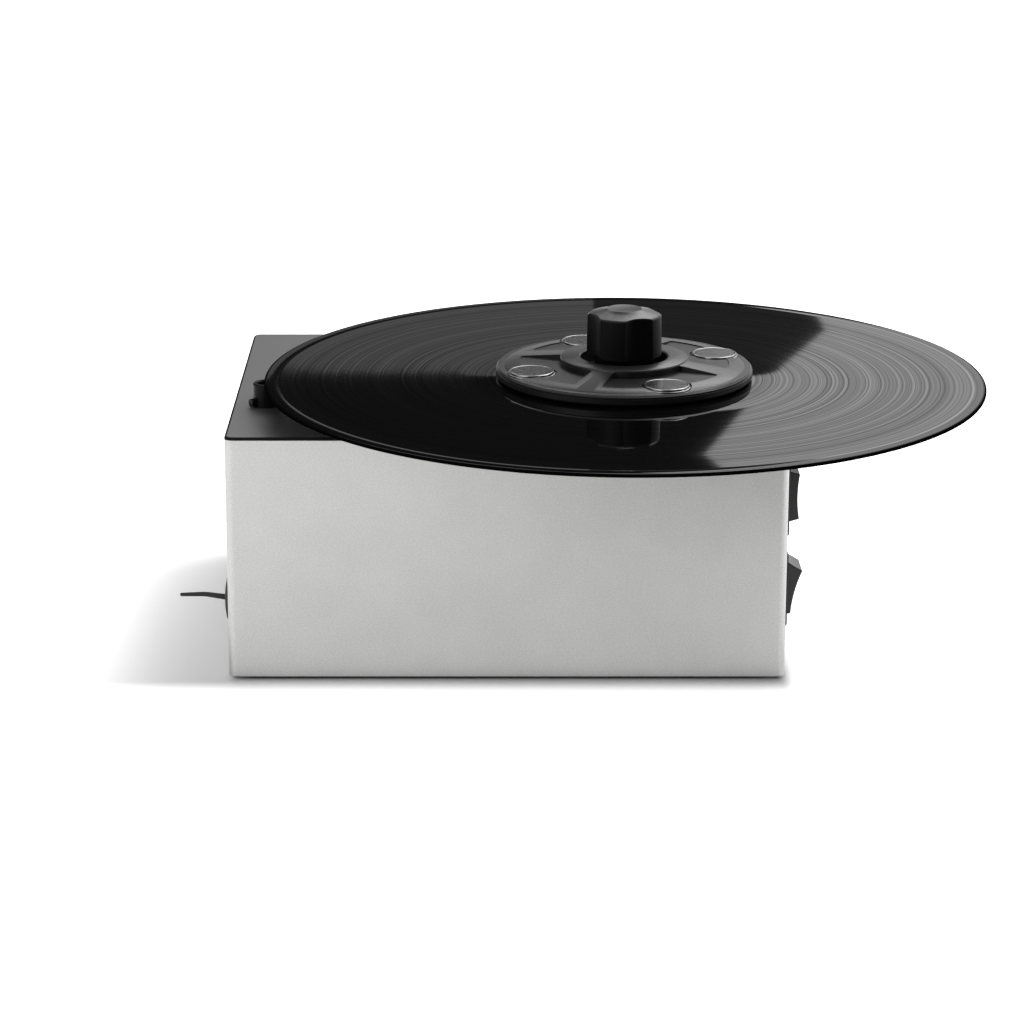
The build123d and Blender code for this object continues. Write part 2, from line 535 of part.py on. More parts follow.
def clamp_knob():
    """Four-lobed lifting knob with shallow flutes and a dished cap, on a stem in the hub's well."""
    edge_z = KNOB_TOP - KNOB_EDGE_DROP
    profile = [
        (0, WELL_Z), (STEM_R, WELL_Z), (STEM_R, KNOB_SKIRT_Z), (KNOB_R - 0.4, KNOB_SKIRT_Z),
        (KNOB_R, KNOB_SKIRT_Z + 0.4), (KNOB_R - 0.3, edge_z - 0.6), (KNOB_R - 0.9, edge_z),
        (CAP_R + 2.0, KNOB_TOP - 0.9), (CAP_R + 0.7, KNOB_TOP - 0.4), (CAP_R, KNOB_TOP),
        (CAP_R - 0.7, KNOB_TOP - 0.1), (0, KNOB_TOP - 0.5),
    ]
    knob = turned(profile)
    flute = disc(FLUTE_R, WELL_Z - 1, KNOB_TOP + 1)
    for cutter in around(flute, 4, FLUTE_R + FLUTE_DEPTH_R, FLUTE_ANGLE):
        knob -= cutter
    knob -= disc(CLAMP_BUSH_R, WELL_Z - 1, LABEL_TOP + CLAMP_BUSH_H)
    for hole in around(disc(1.3, WELL_Z - 1, WELL_Z + 7), 3, CLAMP_SCREW_RING_R, 30):
        knob -= hole
    return Pos(SPINDLE_X, SPINDLE_Y, 0) * knob


def clamp_screws():
    """Three screws from below that hold the knob to the clamp."""
    head = Pos(0, 0, CLAMP_BOTTOM) * Cone(2.9, 1.5, 1.4, align=BOTTOM)
    screw = head + disc(1.5, CLAMP_BOTTOM, WELL_Z) + disc(1.3, WELL_Z, WELL_Z + 6)
    return group(around(screw, 3, CLAMP_SCREW_RING_R, 30, SPINDLE))


# ---- Suction side -------------------------------------------------------------------------------
def arm_socket():
    """Post for the suction arm's tube: bore above the deck, thread and hose barb below it."""
    top = DECK_TOP + ARM_SOCKET_H
    floor, barb_top, barb_bottom = DECK_TOP + 0.4, DECK_UNDER - 7, DECK_UNDER - 15
    profile = [
        (ARM_DUCT_R, barb_bottom), (BARB_R - 0.4, barb_bottom), (BARB_R, barb_bottom + 2), (BARB_R, barb_top),
        (ARM_THREAD_R, barb_top), (ARM_THREAD_R, DECK_TOP), (ARM_SOCKET_R, DECK_TOP),
        (ARM_SOCKET_R, top - 0.5), (ARM_SOCKET_R - 0.5, top), (ARM_BORE_R + 0.4, top),
        (ARM_BORE_R, top - 0.4), (ARM_BORE_R, floor),
        (ARM_DUCT_R, floor),
    ]
    post = turned(profile, ARM_SOCKET)
    screw_hole = bar_x(THUMBSCREW_R + RUNNING_GAP, -ARM_SOCKET_R - 2, -3, 0, THUMBSCREW_Z)
    return post - beside_arm_socket(screw_hole)


def beside_arm_socket(shape):
    """Turns a shape made along -X to the thumbscrew's side of the post."""
    return Pos(ARM_SOCKET_X, ARM_SOCKET_Y, 0) * Rot(0, 0, THUMBSCREW_TURN) * shape


def arm_socket_nut():
    """Nut that holds the socket under the deck."""
    nut = extrude(Pos(*ARM_SOCKET, DECK_UNDER - 3.5) * RegularPolygon(8.0, 6), 3.5)
    return nut - disc(ARM_THREAD_R, DECK_UNDER - 5, DECK_UNDER + 1, ARM_SOCKET)


def arm_thumbscrew():
    """Small knurled screw that locks the arm's tube in its socket."""
    tip_x = -ARM_BORE_R - 0.3
    head_x = -ARM_SOCKET_R - 0.2
    head = extrude(Rot(0, 90, 0) * RegularPolygon(THUMBSCREW_HEAD_R, 12), THUMBSCREW_HEAD_L)
    screw = Pos(head_x - THUMBSCREW_HEAD_L, 0, THUMBSCREW_Z) * head
    screw += bar_x(THUMBSCREW_R, head_x, tip_x, 0, THUMBSCREW_Z)
    return beside_arm_socket(screw)


def suction_hose():
    """Straight hose from the arm socket down to the tank lid."""
    return ring(BARB_R + 1.5, BARB_R, LID_TOP + 0.2, DECK_UNDER - 7.2, ARM_SOCKET)


def tank_outline(inset, z0, z1):
    """Upright block of the tank's plan, inset all round."""
    width, depth = TANK["x1"] - TANK["x0"] - 2 * inset, TANK["y1"] - TANK["y0"] - 2 * inset
    centre = ((TANK["x0"] + TANK["x1"]) / 2, (TANK["y0"] + TANK["y1"]) / 2)
    return plate(width, depth, 4.0 - min(inset, 2.0), z0, z1, centre)


def waste_tank():
    """Open-topped tank for the used fluid, with a hole for the drain spout."""
    tank = tank_outline(0, TANK["z0"], TANK["z1"]) - tank_outline(TANK_WALL, TANK["z0"] + 2.4, TANK["z1"] + 1)
    return tank - bar_x(SPOUT_R, TANK["x0"] - 1, TANK["x0"] + 3, DRAIN_Y, DRAIN_Z)


def tank_lid():
    """Lid with a spigot inside the tank and two hose nipples."""
    lid = tank_outline(-0.8, TANK["z1"], LID_TOP)
    spigot = tank_outline(TANK_WALL + 0.1, TANK["z1"] - 3, TANK["z1"]) - tank_outline(TANK_WALL + 2, 0, 100)
    lid += spigot + disc(NIPPLE_R, LID_TOP, LID_TOP + NIPPLE_H, HOSE_NIPPLE)
    lid += disc(BARB_R, LID_TOP, LID_TOP + NIPPLE_H, ARM_SOCKET)
    lid -= disc(NIPPLE_BORE_R, TANK["z1"] - 1, LID_TOP + NIPPLE_H + 1, HOSE_NIPPLE)
    return lid - disc(ARM_DUCT_R, TANK["z1"] - 1, LID_TOP + NIPPLE_H + 1, ARM_SOCKET)


def tank_cradle():
    """Folded bracket that holds the tank above the base plate."""
    x0, x1, y0, y1 = TANK["x0"] + 6, TANK["x1"] - 6, TANK["y0"] + 8, TANK["y1"] - 8
    outer = block(x0, x1, y0, y1, BASE_TOP, TANK["z0"])
    return outer - block(x0 + 2, x1 - 2, y0 - 1, y1 + 1, BASE_TOP - 1, TANK["z0"] - 2)


def drain_spout():
    """Short tube from the tank's wall to the outside of the case."""
    tube = bar_x(SPOUT_R, -SIDE_X, TANK["x0"] + TANK_WALL, DRAIN_Y, DRAIN_Z)
    return tube - bar_x(DRAIN_BORE_R, -SIDE_X - 1, TANK["x0"] + 5, DRAIN_Y, DRAIN_Z)


def drain_plug():
    """Rubber plug: stem in the spout, domed flange outside, and a thin tail to pull it by."""
    stem = bar_x(DRAIN_BORE_R - RUNNING_GAP, -SIDE_X, -SIDE_X + PLUG_STEM_L, DRAIN_Y, DRAIN_Z)
    dome = [
        (0, 0), (PLUG_FLANGE_R, 0), (PLUG_FLANGE_R, 1.3), (PLUG_FLANGE_R - 0.5, 1.7), (5.5, 2.3), (2.5, 2.6),
        (0, PLUG_FLANGE_T),
    ]
    flange = Pos(-SIDE_X, DRAIN_Y, DRAIN_Z) * Rot(0, -90, 0) * turned(dome)
    start = (-SIDE_X - 2, DRAIN_Y, DRAIN_Z)
    bend = (-SIDE_X - 11, DRAIN_Y, DRAIN_Z + 1.3)
    end = (-SIDE_X - TAIL_L, DRAIN_Y, DRAIN_Z + 1.1)
    path = FilletPolyline(start, bend, end, radius=18)
    root = Plane(origin=start, z_dir=path % 0) * Circle(TAIL_R)
    thin_end = Plane(origin=end, z_dir=path % 1) * Circle(TAIL_TIP_R)
    tail = sweep([root, thin_end], path=path, multisection=True)
    tip = Pos(*end) * Sphere(TAIL_TIP_R)
    return stem + flange + tail + tip


def vacuum_hose():
    """Hose from the tank lid over to the fan's inlet."""
    start, end = (*HOSE_NIPPLE, LID_TOP + 0.3), (*FAN, FAN_TOP + 0.3)
    path = FilletPolyline(start, (*HOSE_NIPPLE, HOSE_LEVEL), (*FAN, HOSE_LEVEL), end, radius=9.0)
    section = Plane(origin=start, z_dir=(0, 0, 1)) * (Circle(NIPPLE_R + HOSE_WALL) - Circle(NIPPLE_R))
    return sweep(section, path=path)


def fan_housing():
    """Fan housing with an inlet nipple on top and a square outlet to the rear wall."""
    outer, inner, wall = OUTLET_HALF_W, OUTLET_HALF_W - FAN_WALL, FAN_WALL
    body = disc(FAN_R + wall, FAN_BOTTOM, FAN_TOP, FAN) + disc(NIPPLE_R, FAN_TOP, FAN_TOP + NIPPLE_H, FAN)
    body += block(FAN_X - outer, FAN_X + outer, FAN_Y + 20, REAR_Y - SHEET - 0.4, FAN_BOTTOM + wall, FAN_TOP)
    body -= disc(FAN_R, FAN_BOTTOM + wall, FAN_TOP - wall, FAN)
    body -= disc(NIPPLE_BORE_R, FAN_TOP - wall - 1, FAN_TOP + NIPPLE_H + 1, FAN)
    body -= block(FAN_X - inner, FAN_X + inner, FAN_Y + 20, REAR_Y, FAN_BOTTOM + 2 * wall, FAN_TOP - wall)
    return body - disc(FAN_SHAFT_R + RUNNING_GAP, FAN_BOTTOM - 1, FAN_BOTTOM + wall + 1, FAN)


def fan_impeller():
    """Impeller with eight swept blades on a shaft that runs in the fan motor."""
    back, blade_top, wheel_r, blades, sweep_angle = FAN_BOTTOM + 4, FAN_BOTTOM + 13, FAN_R - 3, 8, 32
    wheel = disc(wheel_r, back, back + 1.4) + disc(6, back - 1, blade_top - 1)
    wheel += disc(FAN_SHAFT_R, FAN_BOTTOM - 12, back)
    blade = block(7, FAN_R - 4, -0.7, 0.7, back + 1, blade_top)
    for i in range(blades):
        wheel += Rot(0, 0, 360 / blades * i) * Pos(4, 0, 0) * Rot(0, 0, sweep_angle) * Pos(-6, 0, 0) * blade
    wheel &= disc(wheel_r, 0, blade_top)
    return Pos(FAN_X, FAN_Y, 0) * wheel


def fan_motor():
    """Fan motor below the housing, on the base plate's cradle."""
    low, high, radius = FAN_MOUNT_TOP, FAN_BOTTOM, 30
    profile = [
        (0, low), (radius - 6, low), (radius, low + 4), (radius, high - 4), (radius - 4, high), (0, high),
    ]
    return turned(profile, FAN) - disc(FAN_SHAFT_R + RUNNING_GAP, high - 13, high + 1, FAN)


def fan_mount():
    """Rubber ring on the base plate that carries the fan motor."""
    return ring(27, 20, BASE_TOP, FAN_MOUNT_TOP, FAN)


def exhaust_foam():
    """Foam pad behind the exhaust slots."""
    half_w = OUTLET_HALF_W - FAN_WALL - 0.2
    low, high = FAN_BOTTOM + 2 * FAN_WALL + 0.2, FAN_TOP - FAN_WALL - 0.2
    return block(FAN_X - half_w, FAN_X + half_w, REAR_Y - 9, REAR_Y - SHEET - 0.4, low, high)


# ---- Electrics ----------------------------------------------------------------------------------
def inlet_recess():
    """Recess for the mains lead's connector, with two bevelled corners."""
    half_w, half_h, cut = 12.2, 8.2, 4.7
    outline = Polyline(
        (-half_w, -half_h), (half_w, -half_h), (half_w, half_h - cut), (half_w - cut, half_h),
        (cut - half_w, half_h), (-half_w, half_h - cut), close=True,
    )
    face = Pos(INLET_X, REAR_Y + 4, SOCKET_Z) * (Plane.XZ * make_face(outline))
    return extrude(face, 21, dir=(0, -1, 0))


def mains_inlet():
    """Appliance inlet with a fuse holder below it, snapped into the rear wall."""
    flange = Plane.XZ * RectangleRounded(INLET_FLANGE_W, INLET_FLANGE_H, 2.5)
    inlet = Pos(INLET_X, REAR_Y + INLET_FLANGE_T, INLET_Z) * extrude(flange, INLET_FLANGE_T, dir=(0, -1, 0))
    inlet += rear_block(INLET_X, INLET_Z, INLET_BODY_HALF_W, INLET_BODY_HALF_H, REAR_Y - 26, REAR_Y)
    inlet -= inlet_recess()
    slot_w, slot_h = DRAWER_HALF_W + 0.1, DRAWER_HALF_H + 0.1
    return inlet - rear_block(INLET_X, DRAWER_Z, slot_w, slot_h, REAR_Y - 18, REAR_Y + 5)


def inlet_pins():
    """Three flat pins in the appliance inlet."""
    places = [(-7, -1.6), (7, -1.6), (0, 2.6)]
    pins = []
    for dx, dz in places:
        x, z = INLET_X + dx, SOCKET_Z + dz
        pins.append(block(x - 1, x + 1, REAR_Y - 17, REAR_Y - 2, z - 2, z + 2))
    return group(pins)


def fuse_drawer():
    """Fuse drawer with a finger lip."""
    low, high, tray_w = DRAWER_Z - DRAWER_HALF_H, DRAWER_Z + DRAWER_HALF_H, DRAWER_HALF_W - 2.5
    drawer = rear_block(INLET_X, DRAWER_Z, DRAWER_HALF_W, DRAWER_HALF_H, REAR_Y - 16, REAR_Y + 3.4)
    drawer -= block(INLET_X - tray_w, INLET_X + tray_w, REAR_Y - 13, REAR_Y - 1, low + 1.4, high + 1)
    return drawer - block(INLET_X - 5, INLET_X + 5, REAR_Y + 2.2, REAR_Y + 4, high - 1.6, high + 1)


def fuse():
    """Glass fuse lying in the drawer."""
    return bar_x(FUSE_R, INLET_X - 8.4, INLET_X + 8.4, REAR_Y - 7, DRAWER_Z - 0.1)


def power_board():
    """Circuit board of the power supply."""
    board = block(BOARD["x0"], BOARD["x1"], BOARD["y0"], BOARD["y1"], BOARD["z"], BOARD["z"] + BOARD["t"])
    for x, y in board_corners():
        board -= disc(THREAD_HOLE_R, 0, 30, (x, y))
    return board


def board_corners():
    """Places of the board's four fixings."""
    xs, ys = (BOARD["x0"] + 5, BOARD["x1"] - 5), (BOARD["y0"] + 5, BOARD["y1"] - 5)
    return [(x, y) for x in xs for y in ys]


def board_spacers():
    """Four spacers under the board, with pegs through its holes."""
    spacer = disc(3, BASE_TOP, BOARD["z"]) + disc(THREAD_R, BOARD["z"], BOARD["z"] + 3)
    return group(Pos(x, y, 0) * spacer for x, y in board_corners())


def board_parts():
    """Transformer, capacitors and a heat sink on the board."""
    z = BOARD["z"] + BOARD["t"]
    transformer = block(34, 68, 18, 48, z, z + 27)
    capacitors = [disc(8, z, z + 25, (82, 20)), disc(5, z, z + 18, (82, 38)), disc(5, z, z + 18, (82, 52))]
    heat_sink = block(22, 25, 16, 50, z, z + 25)
    return group([transformer, heat_sink] + capacitors)


# ---- Rocker switches ----------------------------------------------------------------------------
def switch_frame(z):
    """Switch body with its bezel on the outside of the case and a cavity for the rocker."""
    bezel = Plane.YZ * RectangleRounded(BEZEL_W, BEZEL_H, 2.0)
    frame = Pos(SIDE_X, SWITCH_Y, z) * extrude(bezel, BEZEL_T)
    frame = chamfer(frame.faces().sort_by(Axis.X)[-1].edges(), BEZEL_CHAMFER)
    back = SIDE_X - SWITCH_BODY_DEPTH
    frame += side_block(SWITCH_Y, z, SWITCH_BODY_HALF_W, SWITCH_BODY_HALF_H, back, SIDE_X)
    cavity_half_w = ROCKER_W / 2 + ROCKER_SIDE_GAP
    frame -= side_block(SWITCH_Y, z, cavity_half_w, CAVITY_HALF_H, SIDE_X - CAVITY_DEPTH, SIDE_X + 5)
    return frame - trunnion(z, PIVOT_R + RUNNING_GAP, PIVOT_HALF_L + 0.2)


def trunnion(z, radius, half_length):
    """Pivot bar across the switch."""
    pivot = Pos(SIDE_X - PIVOT_INSET, SWITCH_Y, z)
    return pivot * Rot(90, 0, 0) * Cylinder(radius, 2 * half_length)


def rocker(z, tilt):
    """Rocker with a hollow face and leaning ends, turned by tilt about its pivot."""
    tip_u, tip_w = ROCKER_TIP[0] + PIVOT_INSET, ROCKER_TIP[1]
    dip_u = ROCKER_DIP + PIVOT_INSET
    skirt_u, skirt_w = BEZEL_T + PIVOT_INSET, 10.85
    skirt_r = hypot(skirt_u, skirt_w)
    low_u = -4.0
    low_w = (skirt_r ** 2 - low_u ** 2) ** 0.5
    face_arc = ThreePointArc((tip_u, tip_w), (dip_u, 0), (tip_u, -tip_w))
    lower_end = ThreePointArc((skirt_u, -skirt_w), (0, -skirt_r), (low_u, -low_w))
    upper_end = ThreePointArc((low_u, low_w), (0, skirt_r), (skirt_u, skirt_w))
    edges = [
        face_arc, Line((tip_u, -tip_w), (skirt_u, -skirt_w)), lower_end,
        Line((low_u, -low_w), (low_u, low_w)), upper_end, Line((skirt_u, skirt_w), (tip_u, tip_w)),
    ]
    outline = Plane.XZ * make_face(Curve() + edges)
    body = extrude(outline, ROCKER_W / 2, both=True)
    body = Rot(0, tilt, 0) * body
    return Pos(SIDE_X - PIVOT_INSET, SWITCH_Y, z) * body + trunnion(z, PIVOT_R, PIVOT_HALF_L)


def switch_terminals():
    """Blade terminals on the backs of both switches."""
    blades = []
    for z in (SWITCH_Z_LOWER, SWITCH_Z_UPPER):
        for dy in (-5, 5):
            for dz in (-9, 0, 9):
                y, back = SWITCH_Y + dy, SIDE_X - SWITCH_BODY_DEPTH
                blades.append(block(back - 8, back, y - 0.4, y + 0.4, z + dz - 3.1, z + dz + 3.1))
    return group(blades)


# ---- Write one file per node --------------------------------------------------------------------
NODES = {
    "case_sleeve": case_sleeve, "top_deck": top_deck, "base_plate": base_plate, "feet": feet,
    "corner_posts": corner_posts, "base_screws": base_screws,
    "spindle_bush": spindle_bush, "bush_screws": bush_screws, "motor_bracket": motor_bracket,
    "bracket_standoffs": bracket_standoffs, "bracket_nuts": bracket_nuts, "drive_gearbox": drive_gearbox,
    "drive_motor": drive_motor, "gearbox_shaft": gearbox_shaft, "shaft_coupling": shaft_coupling,
    "coupling_screws": coupling_screws, "spindle_shaft": spindle_shaft,
    "platter": platter, "platter_magnets": platter_magnets, "platter_mat": platter_mat,
    "record": record, "record_labels": record_labels,
    "clamp_disc": clamp_disc, "clamp_magnets": clamp_magnets, "clamp_seal": clamp_seal,
    "clamp_bush": clamp_bush, "clamp_knob": clamp_knob, "clamp_screws": clamp_screws,
    "arm_socket": arm_socket, "arm_socket_nut": arm_socket_nut, "arm_thumbscrew": arm_thumbscrew,
    "suction_hose": suction_hose, "waste_tank": waste_tank, "tank_lid": tank_lid, "tank_cradle": tank_cradle,
    "drain_spout": drain_spout, "drain_plug": drain_plug, "vacuum_hose": vacuum_hose,
    "fan_housing": fan_housing, "fan_impeller": fan_impeller, "fan_motor": fan_motor, "fan_mount": fan_mount,
    "exhaust_foam": exhaust_foam,
    "mains_inlet": mains_inlet, "inlet_pins": inlet_pins, "fuse_drawer": fuse_drawer, "fuse": fuse,
    "power_board": power_board, "board_spacers": board_spacers, "board_parts": board_parts,
    "direction_switch": lambda: switch_frame(SWITCH_Z_UPPER),
    "direction_rocker": lambda: rocker(SWITCH_Z_UPPER, 0),
    "vacuum_switch": lambda: switch_frame(SWITCH_Z_LOWER),
    "vacuum_rocker": lambda: rocker(SWITCH_Z_LOWER, ROCKER_TILT),
    "switch_terminals": switch_terminals,
}

os.makedirs("parts", exist_ok=True)
for name, make in NODES.items():
    export_step(make(), f"parts/{name}.step")
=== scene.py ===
"""Looks of the record cleaning machine. Metres, in the same frame as the solids."""
import json
from math import cos, pi, radians, sin

import bmesh
import bpy
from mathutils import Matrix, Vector


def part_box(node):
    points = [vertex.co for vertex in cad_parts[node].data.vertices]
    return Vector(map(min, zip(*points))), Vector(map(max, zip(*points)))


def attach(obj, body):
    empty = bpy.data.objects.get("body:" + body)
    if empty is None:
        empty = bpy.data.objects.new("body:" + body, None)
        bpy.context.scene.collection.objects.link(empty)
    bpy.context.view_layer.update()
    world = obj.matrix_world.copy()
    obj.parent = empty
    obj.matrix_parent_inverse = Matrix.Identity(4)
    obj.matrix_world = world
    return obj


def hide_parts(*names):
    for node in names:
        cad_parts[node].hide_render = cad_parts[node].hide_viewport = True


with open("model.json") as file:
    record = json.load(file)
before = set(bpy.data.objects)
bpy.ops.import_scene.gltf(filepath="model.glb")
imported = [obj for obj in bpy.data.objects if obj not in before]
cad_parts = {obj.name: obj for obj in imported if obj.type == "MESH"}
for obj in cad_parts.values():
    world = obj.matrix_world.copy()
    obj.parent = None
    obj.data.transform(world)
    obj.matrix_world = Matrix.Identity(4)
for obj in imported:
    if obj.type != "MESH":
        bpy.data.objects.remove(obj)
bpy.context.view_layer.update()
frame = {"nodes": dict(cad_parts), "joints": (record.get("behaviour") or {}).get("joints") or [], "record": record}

MM = 0.001
MICRON = 0.000001

# ---- Places that the solids give ----------------------------------------------------------------
SPINDLE = tuple(next(joint["pos_m"] for joint in frame["joints"] if joint["name"] == "platter_spin")[:2])
RECORD_UNDER, RECORD_TOP = (corner.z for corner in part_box("record_labels"))
MAGNET_UNDER, MAGNET_TOP = (corner.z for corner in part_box("clamp_magnets"))
MERGE = 2 * MICRON      # vertices closer than this are one


# ---- Node setups --------------------------------------------------------------------------------
class Finish:
    """One material: a Principled shader, and short calls for the patterns that feed it."""

    def __init__(self, name, colour, roughness, metallic=0.0, **sockets):
        self.material = bpy.data.materials.new(name)
        self.material.use_nodes = True
        self.tree = self.material.node_tree
        self.shader = self.tree.nodes["Principled BSDF"]
        self.set("Base Color", (*colour, 1.0))
        self.set("Roughness", roughness)
        self.set("Metallic", metallic)
        for socket, value in sockets.items():
            self.set(socket.replace("_", " "), value)
        self.colour = colour
        self.relief = None

    def set(self, socket, value):
        """Number or colour that is the same all over."""
        self.shader.inputs[socket].default_value = value

    def node(self, kind, **settings):
        """New node of that kind with its settings."""
        made = self.tree.nodes.new(kind)
        for key, value in settings.items():
            setattr(made, key, value)
        return made

    def join(self, source, target):
        """Links one node to the next."""
        self.tree.links.new(source, target)

    def feed(self, pattern, socket):
        """Lets a pattern drive one of the shader's sockets."""
        self.join(pattern, self.shader.inputs[socket])

    def place(self, centre=(0, 0, 0), stretch=(1, 1, 1)):
        """Object coordinates, centred and stretched for a pattern."""
        source = self.node("ShaderNodeTexCoord")
        mapping = self.node("ShaderNodeMapping", vector_type="POINT")
        mapping.inputs["Location"].default_value = [-c * s for c, s in zip(centre, stretch)]
        mapping.inputs["Scale"].default_value = stretch
        self.join(source.outputs["Object"], mapping.inputs["Vector"])
        return mapping.outputs["Vector"]

    def grain(self, scale, detail=3.0, sharpness=0.55, where=None, kind="3D"):
        """Soft random pattern; scale is in cells per metre."""
        noise = self.node("ShaderNodeTexNoise", noise_dimensions=kind)
        noise.inputs["Scale"].default_value = scale
        noise.inputs["Detail"].default_value = detail
        noise.inputs["Roughness"].default_value = sharpness
        if kind == "1D":
            self.join(where, noise.inputs["W"])
        else:
            self.join(where or self.place(), noise.inputs["Vector"])
        return noise.outputs["Fac"]

    def cells(self, scale):
        """Close-packed cells; scale is in cells per metre."""
        voronoi = self.node("ShaderNodeTexVoronoi")
        voronoi.inputs["Scale"].default_value = scale
        self.join(self.place(), voronoi.inputs["Vector"])
        return voronoi.outputs["Distance"]

    def spread(self, value, low, high, start=0.3, end=0.7):
        """Stretches a pattern between two output values."""
        node = self.node("ShaderNodeMapRange", clamp=True)
        node.inputs["From Min"].default_value = start
        node.inputs["From Max"].default_value = end
        node.inputs["To Min"].default_value = low
        node.inputs["To Max"].default_value = high
        self.join(value, node.inputs["Value"])
        return node.outputs["Result"]

    def maths(self, operation, first, second):
        """One sum; each input is a pattern or a number."""
        node = self.node("ShaderNodeMath", operation=operation)
        for socket, value in zip(node.inputs, (first, second)):
            if isinstance(value, (int, float)):
                socket.default_value = value
            else:
                self.join(value, socket)
        return node.outputs["Value"]

    def add(self, first, second):
        return self.maths("ADD", first, second)

    def times(self, first, second):
        return self.maths("MULTIPLY", first, second)

    def inverse(self, pattern):
        """1 where the pattern is 0, and the other way round."""
        return self.maths("SUBTRACT", 1.0, pattern)

    def tint(self, pattern, dark, light):
        """Base colour that goes from dark to light with a pattern."""
        ramp = self.node("ShaderNodeMix", data_type="RGBA")
        ramp.inputs["A"].default_value = (*dark, 1)
        ramp.inputs["B"].default_value = (*light, 1)
        self.join(pattern, ramp.inputs["Factor"])
        self.feed(ramp.outputs["Result"], "Base Color")

    def vary(self, pattern, amount, start=0.3, end=0.7):
        """Base colour that wanders round its own value."""
        dark = [c * (1 - amount) for c in self.colour]
        light = [min(1.0, c * (1 + amount)) for c in self.colour]
        self.tint(self.spread(pattern, 0, 1, start, end), dark, light)

    def rough(self, pattern, low, high, start=0.3, end=0.7):
        """Roughness that goes from low to high with a pattern."""
        self.feed(self.spread(pattern, low, high, start, end), "Roughness")

    def bump(self, pattern, microns):
        """Relief of that depth, on top of any before it."""
        node = self.node("ShaderNodeBump")
        node.inputs["Strength"].default_value = 1.0
        node.inputs["Distance"].default_value = microns * MICRON
        self.join(pattern, node.inputs["Height"])
        if self.relief is not None:
            self.join(self.relief, node.inputs["Normal"])
        self.relief = node.outputs["Normal"]
        self.feed(self.relief, "Normal")

    def radius(self, centre):
        """Distance from an upright axis, in metres."""
        where = self.place((*centre, 0.0), (1, 1, 0))
        length = self.node("ShaderNodeVectorMath", operation="LENGTH")
        self.join(where, length.inputs[0])
        return length.outputs["Value"]

    def outward(self, centre):
        """World direction away from an upright axis, for the tangent."""
        where = self.place((*centre, 0.0), (1, 1, 0))
        unit = self.node("ShaderNodeVectorMath", operation="NORMALIZE")
        self.join(where, unit.inputs[0])
        turn = self.node("ShaderNodeVectorTransform", vector_type="VECTOR",
                         convert_from="OBJECT", convert_to="WORLD")
        self.join(unit.outputs["Vector"], turn.inputs["Vector"])
        self.feed(turn.outputs["Vector"], "Tangent")


ZERO = (0.0, 0.0, 0.0)


def vector_step(tree, operation, first, second=None):
    """One vector sum; each input is a node's output or a fixed vector."""
    node = tree.nodes.new("ShaderNodeVectorMath")
    node.operation = operation
    for socket, value in zip(node.inputs, (first, second)):
        if isinstance(value, tuple):
            socket.default_value = value
        elif value is not None:
            tree.links.new(value, socket)
    return node.outputs["Value" if operation == "LENGTH" else "Vector"]


# ---- Finishes of the case -----------------------------------------------------------------------
def blasted_aluminium():
    """Bead-blasted and clear anodised sheet: a fine sparkle over an even satin."""
    finish = Finish("sleeve_aluminium", (0.525, 0.525, 0.521), 0.46, 1.0)
    fine = finish.grain(1900, 2, 0.6)
    broad = finish.grain(60, 2, 0.5)
    finish.vary(finish.add(fine, finish.spread(broad, -0.03, 0.03)), 0.11, 0.34, 0.66)
    finish.rough(fine, 0.42, 0.52)
    finish.bump(fine, 12)
    return finish.material


DECK_CORNER = 3.5 * MM                              # radius of the deck's upright corners
DECK_GAP_SHADE_WIDTH = 1.1 * MM                              # width of the painted gap shadow along its edge


def plate_border(finish, box, corner, width):
    """1 along the outer edge of a level plate with round corners, otherwise 0."""
    low, high = box
    centre = ((low.x + high.x) / 2, (low.y + high.y) / 2, 0.0)
    inner = ((high.x - low.x) / 2 - corner, (high.y - low.y) / 2 - corner, 0.0)
    side = vector_step(finish.tree, "ABSOLUTE", finish.place(centre, (1, 1, 0)))
    past = vector_step(finish.tree, "MAXIMUM", vector_step(finish.tree, "SUBTRACT", side, inner), ZERO)
    reach = vector_step(finish.tree, "LENGTH", past)
    return finish.spread(reach, 0.0, 1.0, corner - width, corner - width * 0.7)


def satin_deck():
    """Satin black lacquer with a very fine orange peel; its gloss is taken off along the outer edge as painted
    shade for the shadowed gap round the deck.
    """
    finish = Finish("deck_black", (0.014, 0.014, 0.0145), 0.5, Specular_IOR_Level=0.0,
                    Coat_Roughness=0.5, Coat_IOR=2.0)
    peel = finish.grain(1500, 2, 0.5)
    finish.vary(peel, 0.15)
    finish.rough(peel, 0.47, 0.54)
    # painted shade: no coat along the deck's edge, so it reads as the dark gap between deck and sleeve
    gap_shade = plate_border(finish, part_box("top_deck"), DECK_CORNER, DECK_GAP_SHADE_WIDTH)
    finish.feed(finish.inverse(gap_shade), "Coat Weight")
    finish.bump(peel, 6)
    return finish.material


def powder_coat():
    """Black powder coat on folded steel."""
    finish = Finish("steel_plate", (0.028, 0.028, 0.03), 0.5)
    pebble = finish.grain(900, 3, 0.6)
    finish.vary(pebble, 0.25)
    finish.rough(pebble, 0.42, 0.6)
    finish.bump(pebble, 40)
    return finish.material


def matt_rubber(name="rubber_black", shade=0.02):
    """Matt black rubber with a dusty bloom."""
    finish = Finish(name, (shade, shade, shade), 0.72)
    bloom = finish.grain(260, 5, 0.65)
    finish.vary(bloom, 0.35)
    finish.rough(bloom, 0.62, 0.82)
    finish.bump(finish.grain(2400, 2), 20)
    return finish.material


def turned_steel(name, shade, roughness, lay=1600):
    """Bright metal with fine tool marks round its upright axis."""
    finish = Finish(name, (shade, shade, shade * 1.01), roughness, 1.0)
    marks = finish.grain(lay, 3, 0.6, finish.place(stretch=(0.02, 0.02, 1.0)))
    finish.vary(marks, 0.12)
    finish.rough(marks, roughness * 0.8, roughness * 1.25)
    finish.bump(marks, 6)
    return finish.material


